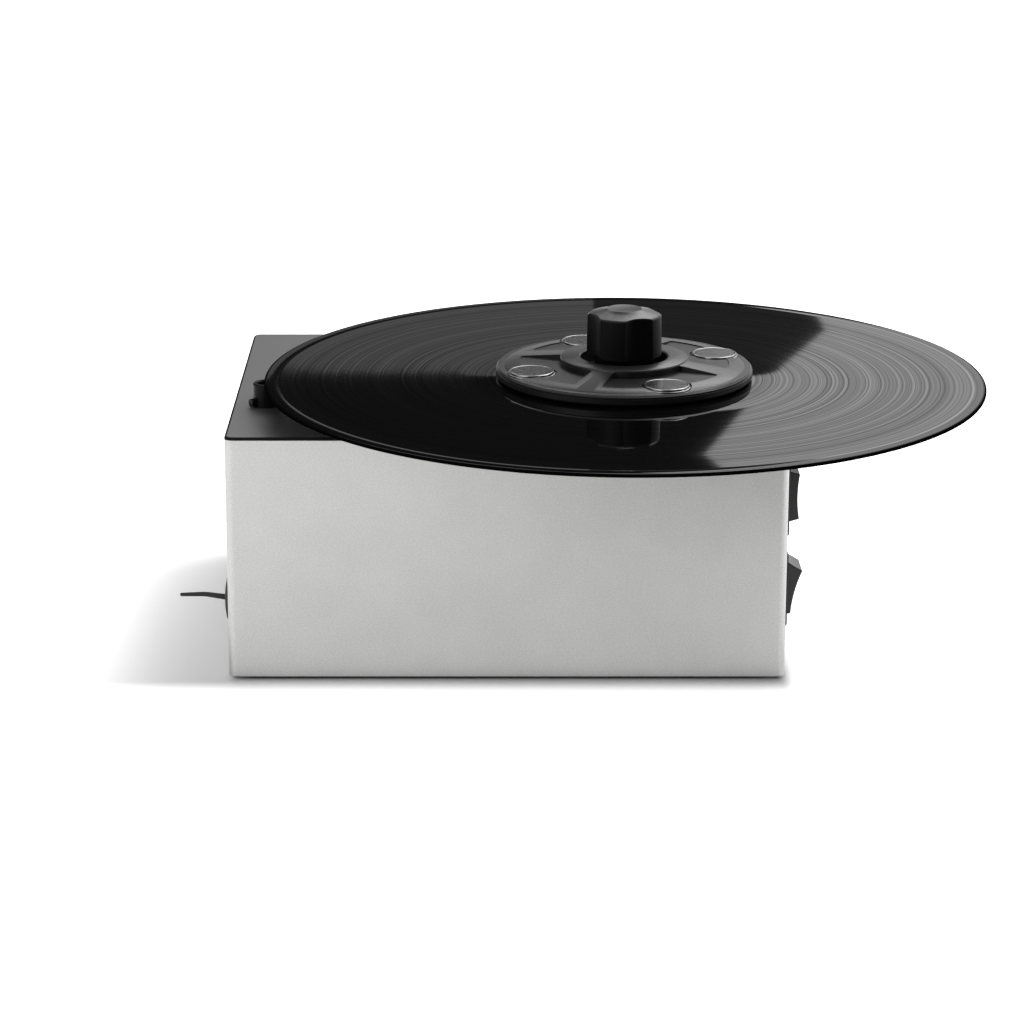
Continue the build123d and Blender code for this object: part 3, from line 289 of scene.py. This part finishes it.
def moulded_plastic(name, shade, roughness, grain_scale=1800, relief=12, tone=1.0, gloss=0.5):
    """Moulded plastic with a fine spark-eroded grain; relief is in microns, and tone lifts its blue."""
    finish = Finish(name, (shade, shade, shade * tone), roughness, Specular_IOR_Level=gloss)
    grain = finish.grain(grain_scale, 3, 0.55)
    patch = finish.grain(90, 2, 0.5)
    finish.vary(finish.add(grain, finish.spread(patch, -0.05, 0.05)), 0.2)
    finish.rough(grain, roughness * 0.88, roughness * 1.15)
    finish.bump(grain, relief)
    return finish.material


KNOB_TOP_SHEEN = 0.48                                  # painted sheen: extra coat on the knob's top only
SHEEN_FROM, SHEEN_FULL = 3.2 * MM, 1.8 * MM       # below the knob's top


def turned_knob():
    """Black plastic knob with plain sides; extra gloss on its top only, as a painted sheen where the top catches
    the light.
    """
    finish = Finish("knob_plastic", (0.003, 0.003, 0.0032), 0.36, Specular_IOR_Level=0.09,
                    Coat_Roughness=0.34)
    grain = finish.grain(1700, 3, 0.55)
    finish.vary(grain, 0.2)
    finish.rough(grain, 0.32, 0.42)
    finish.bump(grain, 8)
    height = finish.node("ShaderNodeSeparateXYZ")
    finish.join(finish.place(), height.inputs["Vector"])
    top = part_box("clamp_knob")[1].z
    # painted sheen: the coat fades in near the top, so the top reads brighter than the sides
    top_sheen = finish.spread(height.outputs["Z"], 0.0, KNOB_TOP_SHEEN, top - SHEEN_FROM, top - SHEEN_FULL)
    finish.feed(top_sheen, "Coat Weight")
    return finish.material


def black_anodised():
    """Black anodised aluminium, turned and satin."""
    finish = Finish("socket_black", (0.005, 0.005, 0.0053), 0.34, Specular_IOR_Level=0.08)
    marks = finish.grain(2200, 3, 0.6, finish.place(stretch=(0.03, 0.03, 1)))
    finish.vary(marks, 0.2)
    finish.rough(marks, 0.28, 0.42)
    finish.bump(marks, 8)
    return finish.material


def natural_tank():
    """Natural, slightly milky moulded plastic."""
    finish = Finish("tank_plastic", (0.75, 0.77, 0.78), 0.4, Subsurface_Weight=0.1, Subsurface_Scale=0.002)
    flow = finish.grain(70, 3, 0.5)
    finish.vary(flow, 0.05)
    finish.rough(flow, 0.34, 0.48)
    finish.bump(flow, 50)
    return finish.material


def open_foam():
    """Open-cell foam, darker in the middle of each pore as painted shade in its hollow."""
    finish = Finish("foam_black", (0.03, 0.03, 0.03), 0.95)
    pores = finish.cells(1500)
    # painted shade: dark where the pores sink in, lighter on the cell walls
    finish.tint(finish.spread(pores, 0, 1, 0.1, 0.5), (0.004, 0.004, 0.004), (0.045, 0.045, 0.045))
    finish.bump(pores, 500)
    return finish.material


def plated_brass():
    """Plated contact blades."""
    finish = Finish("contact_brass", (0.72, 0.62, 0.40), 0.28, 1.0)
    wipe = finish.grain(900, 3, 0.6, finish.place(stretch=(1, 0.05, 1)))
    finish.vary(wipe, 0.12)
    finish.rough(wipe, 0.2, 0.36)
    return finish.material


def board_laminate():
    """Green circuit laminate with its glass weave."""
    finish = Finish("board_green", (0.045, 0.2, 0.09), 0.35)
    wave = finish.node("ShaderNodeTexWave", bands_direction="DIAGONAL")
    wave.inputs["Scale"].default_value = 900
    wave.inputs["Distortion"].default_value = 1.5
    finish.join(finish.place(), wave.inputs["Vector"])
    finish.vary(wave.outputs["Fac"], 0.18, 0, 1)
    finish.rough(wave.outputs["Fac"], 0.3, 0.42, 0, 1)
    return finish.material


def fuse_tube():
    """Clear glass tube."""
    finish = Finish("fuse_glass", (0.92, 0.94, 0.95), 0.06, Transmission_Weight=0.7, IOR=1.5)
    finish.vary(finish.grain(300, 2), 0.04)
    finish.rough(finish.grain(500, 3), 0.03, 0.12)
    return finish.material


# ---- Finishes of the turning parts --------------------------------------------------------------
GROOVES_FROM, GROOVES_TO = 0.050, 0.152             # radii between which rings are placed
LAND_HALF = 0.3 * MM
TRACK_LANDS = (                                     # radius, how clearly it shows
    (0.0672, 0.35), (0.0878, 0.7), (0.1044, 0.8), (0.1160, 0.7),
    (0.1206, 0.5), (0.1310, 0.7), (0.1385, 0.6), (0.1452, 0.9),
)
RIM_FROM, RIM_TO = 0.1497, 0.1501                   # where the glossy face turns into the plain rim


def track_lands(finish, radius):
    """1 on the smooth rings between tracks, otherwise 0."""
    scale = finish.spread(radius, 0.0, 1.0, GROOVES_FROM, GROOVES_TO)
    ramp = finish.node("ShaderNodeValToRGB")
    elements = ramp.color_ramp.elements
    stops = []
    for place, strength in TRACK_LANDS:
        for offset, value in ((-2, 0.0), (-1, strength), (1, strength), (2, 0.0)):
            position = (place + offset * LAND_HALF - GROOVES_FROM) / (GROOVES_TO - GROOVES_FROM)
            stops.append((position, (value, value, value, 1)))
    elements[0].position, elements[0].color = stops[0]
    elements[1].position, elements[1].color = stops[-1]
    for position, colour in stops[1:-1]:
        elements.new(position).color = colour
    finish.join(scale, ramp.inputs["Fac"])
    return ramp.outputs["Color"]


def pressed_vinyl():
    """Grooved vinyl: a glossy skin that the tracks break up, over deep black."""
    finish = Finish("record_vinyl", (0.002, 0.002, 0.0021), 0.3, Specular_IOR_Level=0.0,
                    Coat_Roughness=0.035, Coat_IOR=1.6)
    radius = finish.radius(SPINDLE)
    passages = finish.grain(780, 4, 0.62, radius, "1D")
    loudness = finish.grain(95, 2, 0.5, radius, "1D")
    lands = track_lands(finish, radius)
    rim = finish.spread(radius, 0.0, 1.0, RIM_FROM, RIM_TO)
    finish.vary(passages, 0.4)
    walls = finish.spread(finish.add(finish.spread(passages, -0.05, 0.05), loudness), 0.24, 0.36)
    finish.feed(finish.add(walls, finish.times(rim, 0.5)), "Roughness")
    skin = finish.add(finish.spread(passages, 0.42, 1.1), finish.spread(loudness, -0.1, 0.1))
    skin = finish.add(skin, finish.times(lands, 0.35))
    finish.feed(finish.times(skin, finish.inverse(rim)), "Coat Weight")
    finish.bump(passages, 4)
    finish.bump(lands, 6)
    return finish.material


def label_paper():
    """Uncoated label paper."""
    finish = Finish("label_paper", (0.62, 0.60, 0.55), 0.8)
    fibres = finish.grain(1400, 5, 0.7)
    finish.vary(fibres, 0.06)
    finish.rough(fibres, 0.72, 0.88)
    finish.bump(fibres, 20)
    return finish.material


def turned_aluminium():
    """Platter face with concentric tool marks."""
    finish = Finish("platter_aluminium", (0.60, 0.60, 0.61), 0.3, 1.0, Anisotropic=0.6)
    radius = finish.radius(SPINDLE)
    marks = finish.grain(2600, 3, 0.6, radius, "1D")
    finish.vary(marks, 0.08)
    finish.rough(marks, 0.24, 0.38)
    finish.bump(marks, 10)
    finish.outward(SPINDLE)
    return finish.material


def nickel_plate():
    """Nickel-plated magnet with a faint haze."""
    finish = Finish("magnet_nickel", (0.25, 0.25, 0.253), 0.2, 1.0)
    haze = finish.grain(260, 2, 0.5)
    finish.vary(haze, 0.05)
    finish.rough(haze, 0.19, 0.215)
    return finish.material


FINISHES = {
    "sleeve_aluminium": blasted_aluminium(),
    "deck_black": satin_deck(),
    "steel_plate": powder_coat(),
    "rubber_black": matt_rubber(),
    "post_steel": turned_steel("post_steel", 0.55, 0.32),
    "screw_steel": turned_steel("screw_steel", 0.5, 0.36, lay=2400),
    "spindle_steel": turned_steel("spindle_steel", 0.7, 0.14, lay=2200),
    "bearing_plastic": moulded_plastic("bearing_plastic", 0.05, 0.42, tone=1.1),
    "motor_metal": turned_steel("motor_metal", 0.45, 0.34, lay=1100),
    "socket_black": black_anodised(),
    "hose_rubber": matt_rubber("hose_rubber", 0.04),
    "tank_plastic": natural_tank(),
    "fan_plastic": moulded_plastic("fan_plastic", 0.06, 0.5, tone=1.08),
    "foam_black": open_foam(),
    "switch_plastic": moulded_plastic("switch_plastic", 0.01, 0.42, relief=4, tone=1.08, gloss=0.15),
    "rocker_plastic": moulded_plastic("rocker_plastic", 0.012, 0.3, 1500, relief=2, tone=1.08, gloss=0.4),
    "contact_brass": plated_brass(),
    "board_green": board_laminate(),
    "component_black": moulded_plastic("component_black", 0.06, 0.5, 1400, tone=1.08),
    "fuse_glass": fuse_tube(),
    "platter_aluminium": turned_aluminium(),
    "magnet_nickel": nickel_plate(),
    "record_vinyl": pressed_vinyl(),
    "label_paper": label_paper(),
    "clamp_plastic": moulded_plastic("clamp_plastic", 0.008, 0.33, 1900, relief=8, tone=1.06, gloss=0.3),
    "knob_plastic": turned_knob(),
    "plug_rubber": matt_rubber("plug_rubber", 0.02),
}

NODE_BODY = {node: body for body, nodes in frame["record"]["behaviour"]["bodies"].items() for node in nodes}
NODE_SLOT = {
    "case_sleeve": "sleeve_aluminium", "top_deck": "deck_black", "base_plate": "steel_plate",
    "feet": "rubber_black", "corner_posts": "post_steel", "base_screws": "screw_steel",
    "spindle_bush": "bearing_plastic", "bush_screws": "screw_steel", "motor_bracket": "steel_plate",
    "bracket_standoffs": "post_steel", "bracket_nuts": "screw_steel", "drive_gearbox": "motor_metal",
    "drive_motor": "motor_metal", "gearbox_shaft": "spindle_steel", "shaft_coupling": "post_steel",
    "coupling_screws": "screw_steel", "spindle_shaft": "spindle_steel", "platter": "platter_aluminium",
    "platter_magnets": "magnet_nickel", "platter_mat": "rubber_black", "record": "record_vinyl",
    "record_labels": "label_paper", "clamp_disc": "clamp_plastic", "clamp_magnets": "magnet_nickel",
    "clamp_seal": "rubber_black", "clamp_bush": "bearing_plastic", "clamp_knob": "knob_plastic",
    "clamp_screws": "screw_steel", "arm_socket": "socket_black", "arm_socket_nut": "screw_steel",
    "arm_thumbscrew": "socket_black", "suction_hose": "hose_rubber", "waste_tank": "tank_plastic",
    "tank_lid": "tank_plastic", "tank_cradle": "steel_plate", "drain_spout": "tank_plastic",
    "drain_plug": "plug_rubber", "vacuum_hose": "hose_rubber", "fan_housing": "fan_plastic",
    "fan_impeller": "fan_plastic", "fan_motor": "motor_metal", "fan_mount": "rubber_black",
    "exhaust_foam": "foam_black", "mains_inlet": "switch_plastic", "inlet_pins": "contact_brass",
    "fuse_drawer": "switch_plastic", "fuse": "fuse_glass", "power_board": "board_green",
    "board_spacers": "post_steel", "board_parts": "component_black", "switch_terminals": "contact_brass",
    "direction_switch": "switch_plastic", "direction_rocker": "rocker_plastic",
    "vacuum_switch": "switch_plastic", "vacuum_rocker": "rocker_plastic",
}


# ---- Making pieces ------------------------------------------------------------------------------
FLAT = 0.3                              # faces this few degrees apart are one


def new_object(name, bm, material):
    """Object in the scene with the bmesh's shape and one material."""
    mesh = bpy.data.meshes.new(name)
    bm.to_mesh(mesh)
    bm.free()
    mesh.materials.append(material)
    made = bpy.data.objects.new(name, mesh)
    bpy.context.scene.collection.objects.link(made)
    return made


def finished(bm, name, node, sharp):
    """Turns a bmesh into a shaded piece that stands for a node and rides on its body."""
    bmesh.ops.recalc_face_normals(bm, faces=bm.faces)
    for face in bm.faces:
        face.smooth = True
    for edge in bm.edges:
        edge.smooth = edge.calc_face_angle(0.0) < radians(sharp)
    piece = new_object(name, bm, FINISHES[NODE_SLOT[node]])
    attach(piece, NODE_BODY[node])
    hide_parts(node)
    return piece


def rounded_edges(piece, width, sharp):
    """Breaks every sharp edge with a small radius."""
    bevel = piece.modifiers.new("broken edges", "BEVEL")
    bevel.width = width
    bevel.segments = 3
    bevel.limit_method = "ANGLE"
    bevel.angle_limit = radians(sharp)
    bevel.harden_normals = True
    bevel.use_clamp_overlap = True
    bevel.miter_outer = "MITER_ARC"


def dressed_node(node, name, edge, sharp):
    """Copy of a node's shape with merged faces, smooth curves and broken edges; it stands for the node."""
    bm = bmesh.new()
    bm.from_mesh(frame["nodes"][node].data)
    bmesh.ops.remove_doubles(bm, verts=bm.verts, dist=MERGE)
    bmesh.ops.dissolve_limit(bm, angle_limit=radians(FLAT), verts=bm.verts, edges=bm.edges)
    piece = finished(bm, name, node, sharp)
    if edge:
        rounded_edges(piece, edge, sharp)


def turned_shape(bm, profile, centre, steps):
    """Spins a closed outline of (radius, height) points round an upright axis."""
    verts = [bm.verts.new((centre[0] + radius, centre[1], height)) for radius, height in profile]
    edges = [bm.edges.new(pair) for pair in zip(verts, verts[1:] + verts[:1])]
    bmesh.ops.spin(bm, geom=verts + edges, cent=(*centre, 0), axis=(0, 0, 1), angle=2 * pi, steps=steps,
                   use_merge=True)
    bmesh.ops.remove_doubles(bm, verts=bm.verts, dist=MERGE)


# ---- The record ---------------------------------------------------------------------------------
def record_profile():
    """Half outline of a pressed disc, as (radius, height above its middle plane) in millimetres."""
    label, groove, bead = 0.95, 0.70, 0.78
    return [
        (3.62, label - 0.2), (49.98, label - 0.2), (50.0, label), (51.2, label), (51.9, label - 0.06),
        (52.5, groove + 0.06), (53.2, groove), (70, groove), (100, groove), (125, groove), (144.2, groove),
        (145.0, groove + 0.012), (145.8, groove + 0.045), (146.6, bead - 0.012), (147.3, bead), (149.6, bead),
        (150.2, bead - 0.05), (150.6, bead - 0.22), (150.76, bead - 0.45), (150.78, bead - 0.6),
    ]


def make_record():
    """Pressed disc with a raised label and a bead at its rim, the same above and below."""
    middle = (RECORD_TOP + RECORD_UNDER) / 2
    half = record_profile()
    upper = [(radius * MM, middle + height * MM) for radius, height in half]
    lower = [(radius * MM, middle - height * MM) for radius, height in reversed(half)]
    bm = bmesh.new()
    turned_shape(bm, upper + lower, SPINDLE, 256)
    finished(bm, "record_disc", "record", sharp=40)


# ---- The clamp's magnets ------------------------------------------------------------------------
MAGNET_COUNT = 4
MAGNET_CIRCLE = 42 * MM                 # radius on which they stand
FIRST_MAGNET = 22                       # degrees from the machine's right


def magnet_profile():
    """Half outline, as (radius, height from its top) in millimetres: a collar, and a disc with a rolled
    edge and a barely dished face."""
    under = (MAGNET_UNDER - MAGNET_TOP) / MM
    collar, disc, ledge, dish = 10.0, 9.4, -0.9, -0.09
    return [
        (0, under), (collar - 0.3, under), (collar, under + 0.3), (collar, ledge - 0.25),
        (collar - 0.07, ledge - 0.07), (collar - 0.25, ledge), (disc + 0.1, ledge), (disc, ledge + 0.05),
        (disc, -0.45), (disc - 0.09, -0.17), (disc - 0.3, -0.03), (disc - 0.45, 0), (disc - 0.6, -0.03),
        (disc - 0.75, dish + 0.01), (disc - 0.9, dish), (disc - 1.2, dish), (0, dish),
    ]


def make_magnets():
    """Plated magnets in a ring round the knob."""
    profile = [(radius * MM, MAGNET_TOP + height * MM) for radius, height in magnet_profile()]
    bm = bmesh.new()
    for number in range(MAGNET_COUNT):
        angle = radians(FIRST_MAGNET) + 2 * pi * number / MAGNET_COUNT
        centre = (SPINDLE[0] + MAGNET_CIRCLE * cos(angle), SPINDLE[1] + MAGNET_CIRCLE * sin(angle))
        turned_shape(bm, profile, centre, 64)
    finished(bm, "clamp_magnet_discs", "clamp_magnets", sharp=50)


# ---- Pieces made from the nodes -----------------------------------------------------------------
BROKEN_EDGES = (        # node, its piece, radius of its broken edges in millimetres
    ("clamp_disc", "clamp_plate", 0.25),
    ("clamp_knob", "clamp_handle", 0.5),
    ("case_sleeve", "case_wrap", 0.35),
    ("top_deck", "deck_plate", 0.55),
    ("base_plate", "bottom_plate", 0.2),
    ("feet", "foot_pads", 0.3),
    ("arm_socket", "arm_post", 0.15),
    ("arm_thumbscrew", "arm_lock_screw", 0.12),
    ("platter", "platter_plate", 0.2),
    ("platter_mat", "platter_pad", 0.15),
    ("spindle_shaft", "spindle_pin", 0),
    ("drain_plug", "drain_stopper", 0),
    ("mains_inlet", "inlet_housing", 0.3),
    ("fuse_drawer", "fuse_tray", 0.3),
    ("direction_switch", "direction_bezel", 0.25),
    ("vacuum_switch", "vacuum_bezel", 0.25),
    ("direction_rocker", "direction_key", 0.4),
    ("vacuum_rocker", "vacuum_key", 0.4),
)
STANDARD_SHARP = 30                     # edges past this many degrees stay edges
SHARP_OF = {"clamp_knob": 24}           # the knob's flutes meet at a shallow angle


def dress_nodes():
    """Pieces for the nodes that show, and a finish for every node."""
    for node, name, edge in BROKEN_EDGES:
        dressed_node(node, name, edge * MM, SHARP_OF.get(node, STANDARD_SHARP))
    for node, solid in frame["nodes"].items():
        solid.data.materials.clear()
        solid.data.materials.append(FINISHES[NODE_SLOT[node]])


# ---- Backdrop and floor -------------------------------------------------------------------------
AMBIENT, BACKDROP = 0.3, 1.0            # the world as a light, and as it is seen
FLOOR_HALF = 6.0                        # from its middle to its edges
FLOOR_SHADE = 0.96
FLOOR_GLOW = 0.7                        # brings the lit floor up to the backdrop's white
CASE_NEAR, CASE_FAR = (-0.113, -0.090, -1.0), (0.113, 0.089, 1.0)    # box round the case
FADE_NEAR, FADE_FAR = (0.12, 0.016, 1.0), (0.007, 0.06, 1.0)    # how far past them the shadow is kept


def seen_directly(tree):
    """1 for camera, glossy and transmission rays, otherwise 0."""
    path = tree.nodes.new("ShaderNodeLightPath")
    total = path.outputs["Is Camera Ray"]
    for name in ("Is Glossy Ray", "Is Transmission Ray"):
        larger = tree.nodes.new("ShaderNodeMath")
        larger.operation = "MAXIMUM"
        tree.links.new(total, larger.inputs[0])
        tree.links.new(path.outputs[name], larger.inputs[1])
        total = larger.outputs["Value"]
    return total


def make_world():
    """White room that lights the object only a little."""
    world = bpy.data.worlds.new("studio")
    bpy.context.scene.world = world
    world.use_nodes = True
    tree = world.node_tree
    background = tree.nodes["Background"]
    strength = tree.nodes.new("ShaderNodeMapRange")
    strength.inputs["To Min"].default_value = AMBIENT
    strength.inputs["To Max"].default_value = BACKDROP
    tree.links.new(seen_directly(tree), strength.inputs["Value"])
    tree.links.new(strength.outputs["Result"], background.inputs["Strength"])
    background.inputs["Color"].default_value = (1, 1, 1, 1)


def clear_of_shadow(tree):
    """0 on the floor under the case, rising to the floor's glow away from it, slowest on its left."""
    place = tree.nodes.new("ShaderNodeTexCoord").outputs["Object"]
    past = []
    for ahead, behind, fade in ((place, CASE_FAR, FADE_FAR), (CASE_NEAR, place, FADE_NEAR)):
        beyond = vector_step(tree, "MAXIMUM", vector_step(tree, "SUBTRACT", ahead, behind), ZERO)
        past.append(vector_step(tree, "DIVIDE", beyond, fade))
    away = tree.nodes.new("ShaderNodeMapRange")
    away.interpolation_type = "SMOOTHSTEP"
    away.inputs["To Max"].default_value = FLOOR_GLOW
    tree.links.new(vector_step(tree, "LENGTH", vector_step(tree, "ADD", *past)), away.inputs["Value"])
    return away.outputs["Result"]


def floor_paper():
    """Pale matt paper that glows to the eye outside the object's shadow."""
    material = bpy.data.materials.new("floor_paper")
    material.use_nodes = True
    tree = material.node_tree
    shader = tree.nodes["Principled BSDF"]
    shader.inputs["Base Color"].default_value = (FLOOR_SHADE, FLOOR_SHADE, FLOOR_SHADE, 1)
    shader.inputs["Roughness"].default_value = 1.0
    shader.inputs["Specular IOR Level"].default_value = 0.0
    glow = tree.nodes.new("ShaderNodeEmission")
    strength = tree.nodes.new("ShaderNodeMath")
    strength.operation = "MULTIPLY"
    tree.links.new(seen_directly(tree), strength.inputs[0])
    tree.links.new(clear_of_shadow(tree), strength.inputs[1])
    tree.links.new(strength.outputs["Value"], glow.inputs["Strength"])
    both = tree.nodes.new("ShaderNodeAddShader")
    tree.links.new(shader.outputs["BSDF"], both.inputs[0])
    tree.links.new(glow.outputs["Emission"], both.inputs[1])
    tree.links.new(both.outputs["Shader"], tree.nodes["Material Output"].inputs["Surface"])
    return material


def make_floor():
    """Level floor at the height of the feet's undersides."""
    bm = bmesh.new()
    bmesh.ops.create_grid(bm, x_segments=1, y_segments=1, size=FLOOR_HALF)
    floor = new_object("studio_floor", bm, floor_paper())


# ---- Cards that only gloss mirrors --------------------------------------------------------------
BACK, FRONT, LEFT = 1.8, -2.4, -2.6     # where the outer cards stand
CLOSE = -0.36                           # depth of the low card close in front of the case's right
APART = 0.001                           # between two cards that meet or lie over each other


def rectangle(start, end, low, high):
    """Corners of an upright rectangle, from (run, height)."""
    return (start, low), (end, low), (end, high), (start, high)


def across(depth, outline):
    """Corners of a card across the room, from (x, z)."""
    return [(x, depth, z) for x, z in outline]


def along(side, outline):
    """Corners of a card along the room, from (y, z)."""
    return [(side, y, z) for y, z in outline]


HIGH_OUTLINE = ((0.284, 0.575), (0.15, 0.74), (0.25, 1.1), (0.25, 3.2), (-2.6, 3.2), (-2.6, 0.575))
LOW_RIGHT_OUTLINE = ((0.10, 0.30), (0.59, 0.30), (0.284, 0.575), (0.10, 0.575))
CARDS = (               # name, corners, brightness
    ("flag_high", across(BACK, HIGH_OUTLINE), 0.015),
    ("flag_low", across(BACK + APART, rectangle(-2.6, 0.10, 0.30, 0.575)), 0.24),
    ("flag_low_right", across(BACK + APART, LOW_RIGHT_OUTLINE), 0.05),
    ("flag_front", across(FRONT, rectangle(-3.0, 3.0, -0.4, 3.0)), 0.02),
    ("flag_front_band", across(FRONT + APART, rectangle(-2.2, 2.2, 0.55, 1.3)), 0.22),
    ("flag_left", along(LEFT, rectangle(-0.5, 1.8, 0.0, 2.0)), 0.16),
    ("flag_side", across(CLOSE, rectangle(0.04, 1.5, 0.0, 0.6)), 0.02),
)


def card_face(name, brightness):
    """Plain even glow, the same from any side."""
    material = bpy.data.materials.new(name)
    material.use_nodes = True
    tree = material.node_tree
    tree.nodes.remove(tree.nodes["Principled BSDF"])
    glow = tree.nodes.new("ShaderNodeEmission")
    glow.inputs["Strength"].default_value = brightness
    tree.links.new(glow.outputs["Emission"], tree.nodes["Material Output"].inputs["Surface"])
    return material


def make_card(name, corners, brightness):
    """Flat card that only reflections show."""
    bm = bmesh.new()
    bm.faces.new([bm.verts.new(corner) for corner in corners])
    card = new_object(name, bm, card_face(name + "_card", brightness))
    card.visible_camera = False
    card.visible_diffuse = False
    card.visible_shadow = False
    card.visible_transmission = False
    card.visible_volume_scatter = False


# ---- Lights and camera --------------------------------------------------------------------------
PANELS = (              # name, place, height of the middle that it faces, width, height, watts
    ("key_panel", (0.85, 0.45, 1.65), 0.08, 0.8, 1.0, 20),
    ("fill_panel", (-1.3, -1.5, 1.2), 0.06, 1.2, 1.0, 16),
    ("rear_panel", (0.6, 1.3, 1.2), 0.1, 1.2, 0.6, 10),
    ("rear_left_panel", (-0.5, 1.3, 1.2), 0.1, 1.2, 0.6, 4.5),
)
PICTURE = 1024.0                        # pixels along each side
FOCAL_PIXELS = 3219.8
CENTRE_COLUMN, CENTRE_ROW = 485.0, 450.0    # the pixel that the lens points at
SENSOR = 36.0                           # millimetres
CAMERA_PLACE = (-0.0090, -1.3499, 0.4470)
CAMERA_DOWN = 0.2696                    # radians below level


def soft_panel(name, place, aim_height, width, height, watts):
    """Rectangular light that faces the object and stays out of the picture."""
    light = bpy.data.lights.new(name, "AREA")
    light.shape = "RECTANGLE"
    light.size = width
    light.size_y = height
    light.energy = watts
    panel = bpy.data.objects.new(name, light)
    bpy.context.scene.collection.objects.link(panel)
    panel.location = place
    panel.rotation_euler = (Vector((0, 0, aim_height)) - Vector(place)).to_track_quat("-Z", "Y").to_euler()
    panel.visible_camera = False


def make_camera():
    """Long lens from the front, a little above the machine; its shift places the machine in the picture."""
    lens = bpy.data.cameras.new("camera")
    lens.sensor_width = SENSOR
    lens.lens = FOCAL_PIXELS / PICTURE * SENSOR
    lens.shift_x = (PICTURE / 2 - CENTRE_COLUMN) / PICTURE
    lens.shift_y = (CENTRE_ROW - PICTURE / 2) / PICTURE
    lens.clip_start = 0.05
    lens.clip_end = 50.0
    camera = bpy.data.objects.new("camera", lens)
    bpy.context.scene.collection.objects.link(camera)
    camera.location = CAMERA_PLACE
    camera.rotation_euler = (pi / 2 - CAMERA_DOWN, 0, 0)
    bpy.context.scene.camera = camera


# ---- The whole scene ----------------------------------------------------------------------------
make_record()
make_magnets()
dress_nodes()
make_world()
make_floor()
for card in CARDS:
    make_card(*card)
for panel in PANELS:
    soft_panel(*panel)
make_camera()
bpy.context.scene.view_settings.view_transform = "Standard"
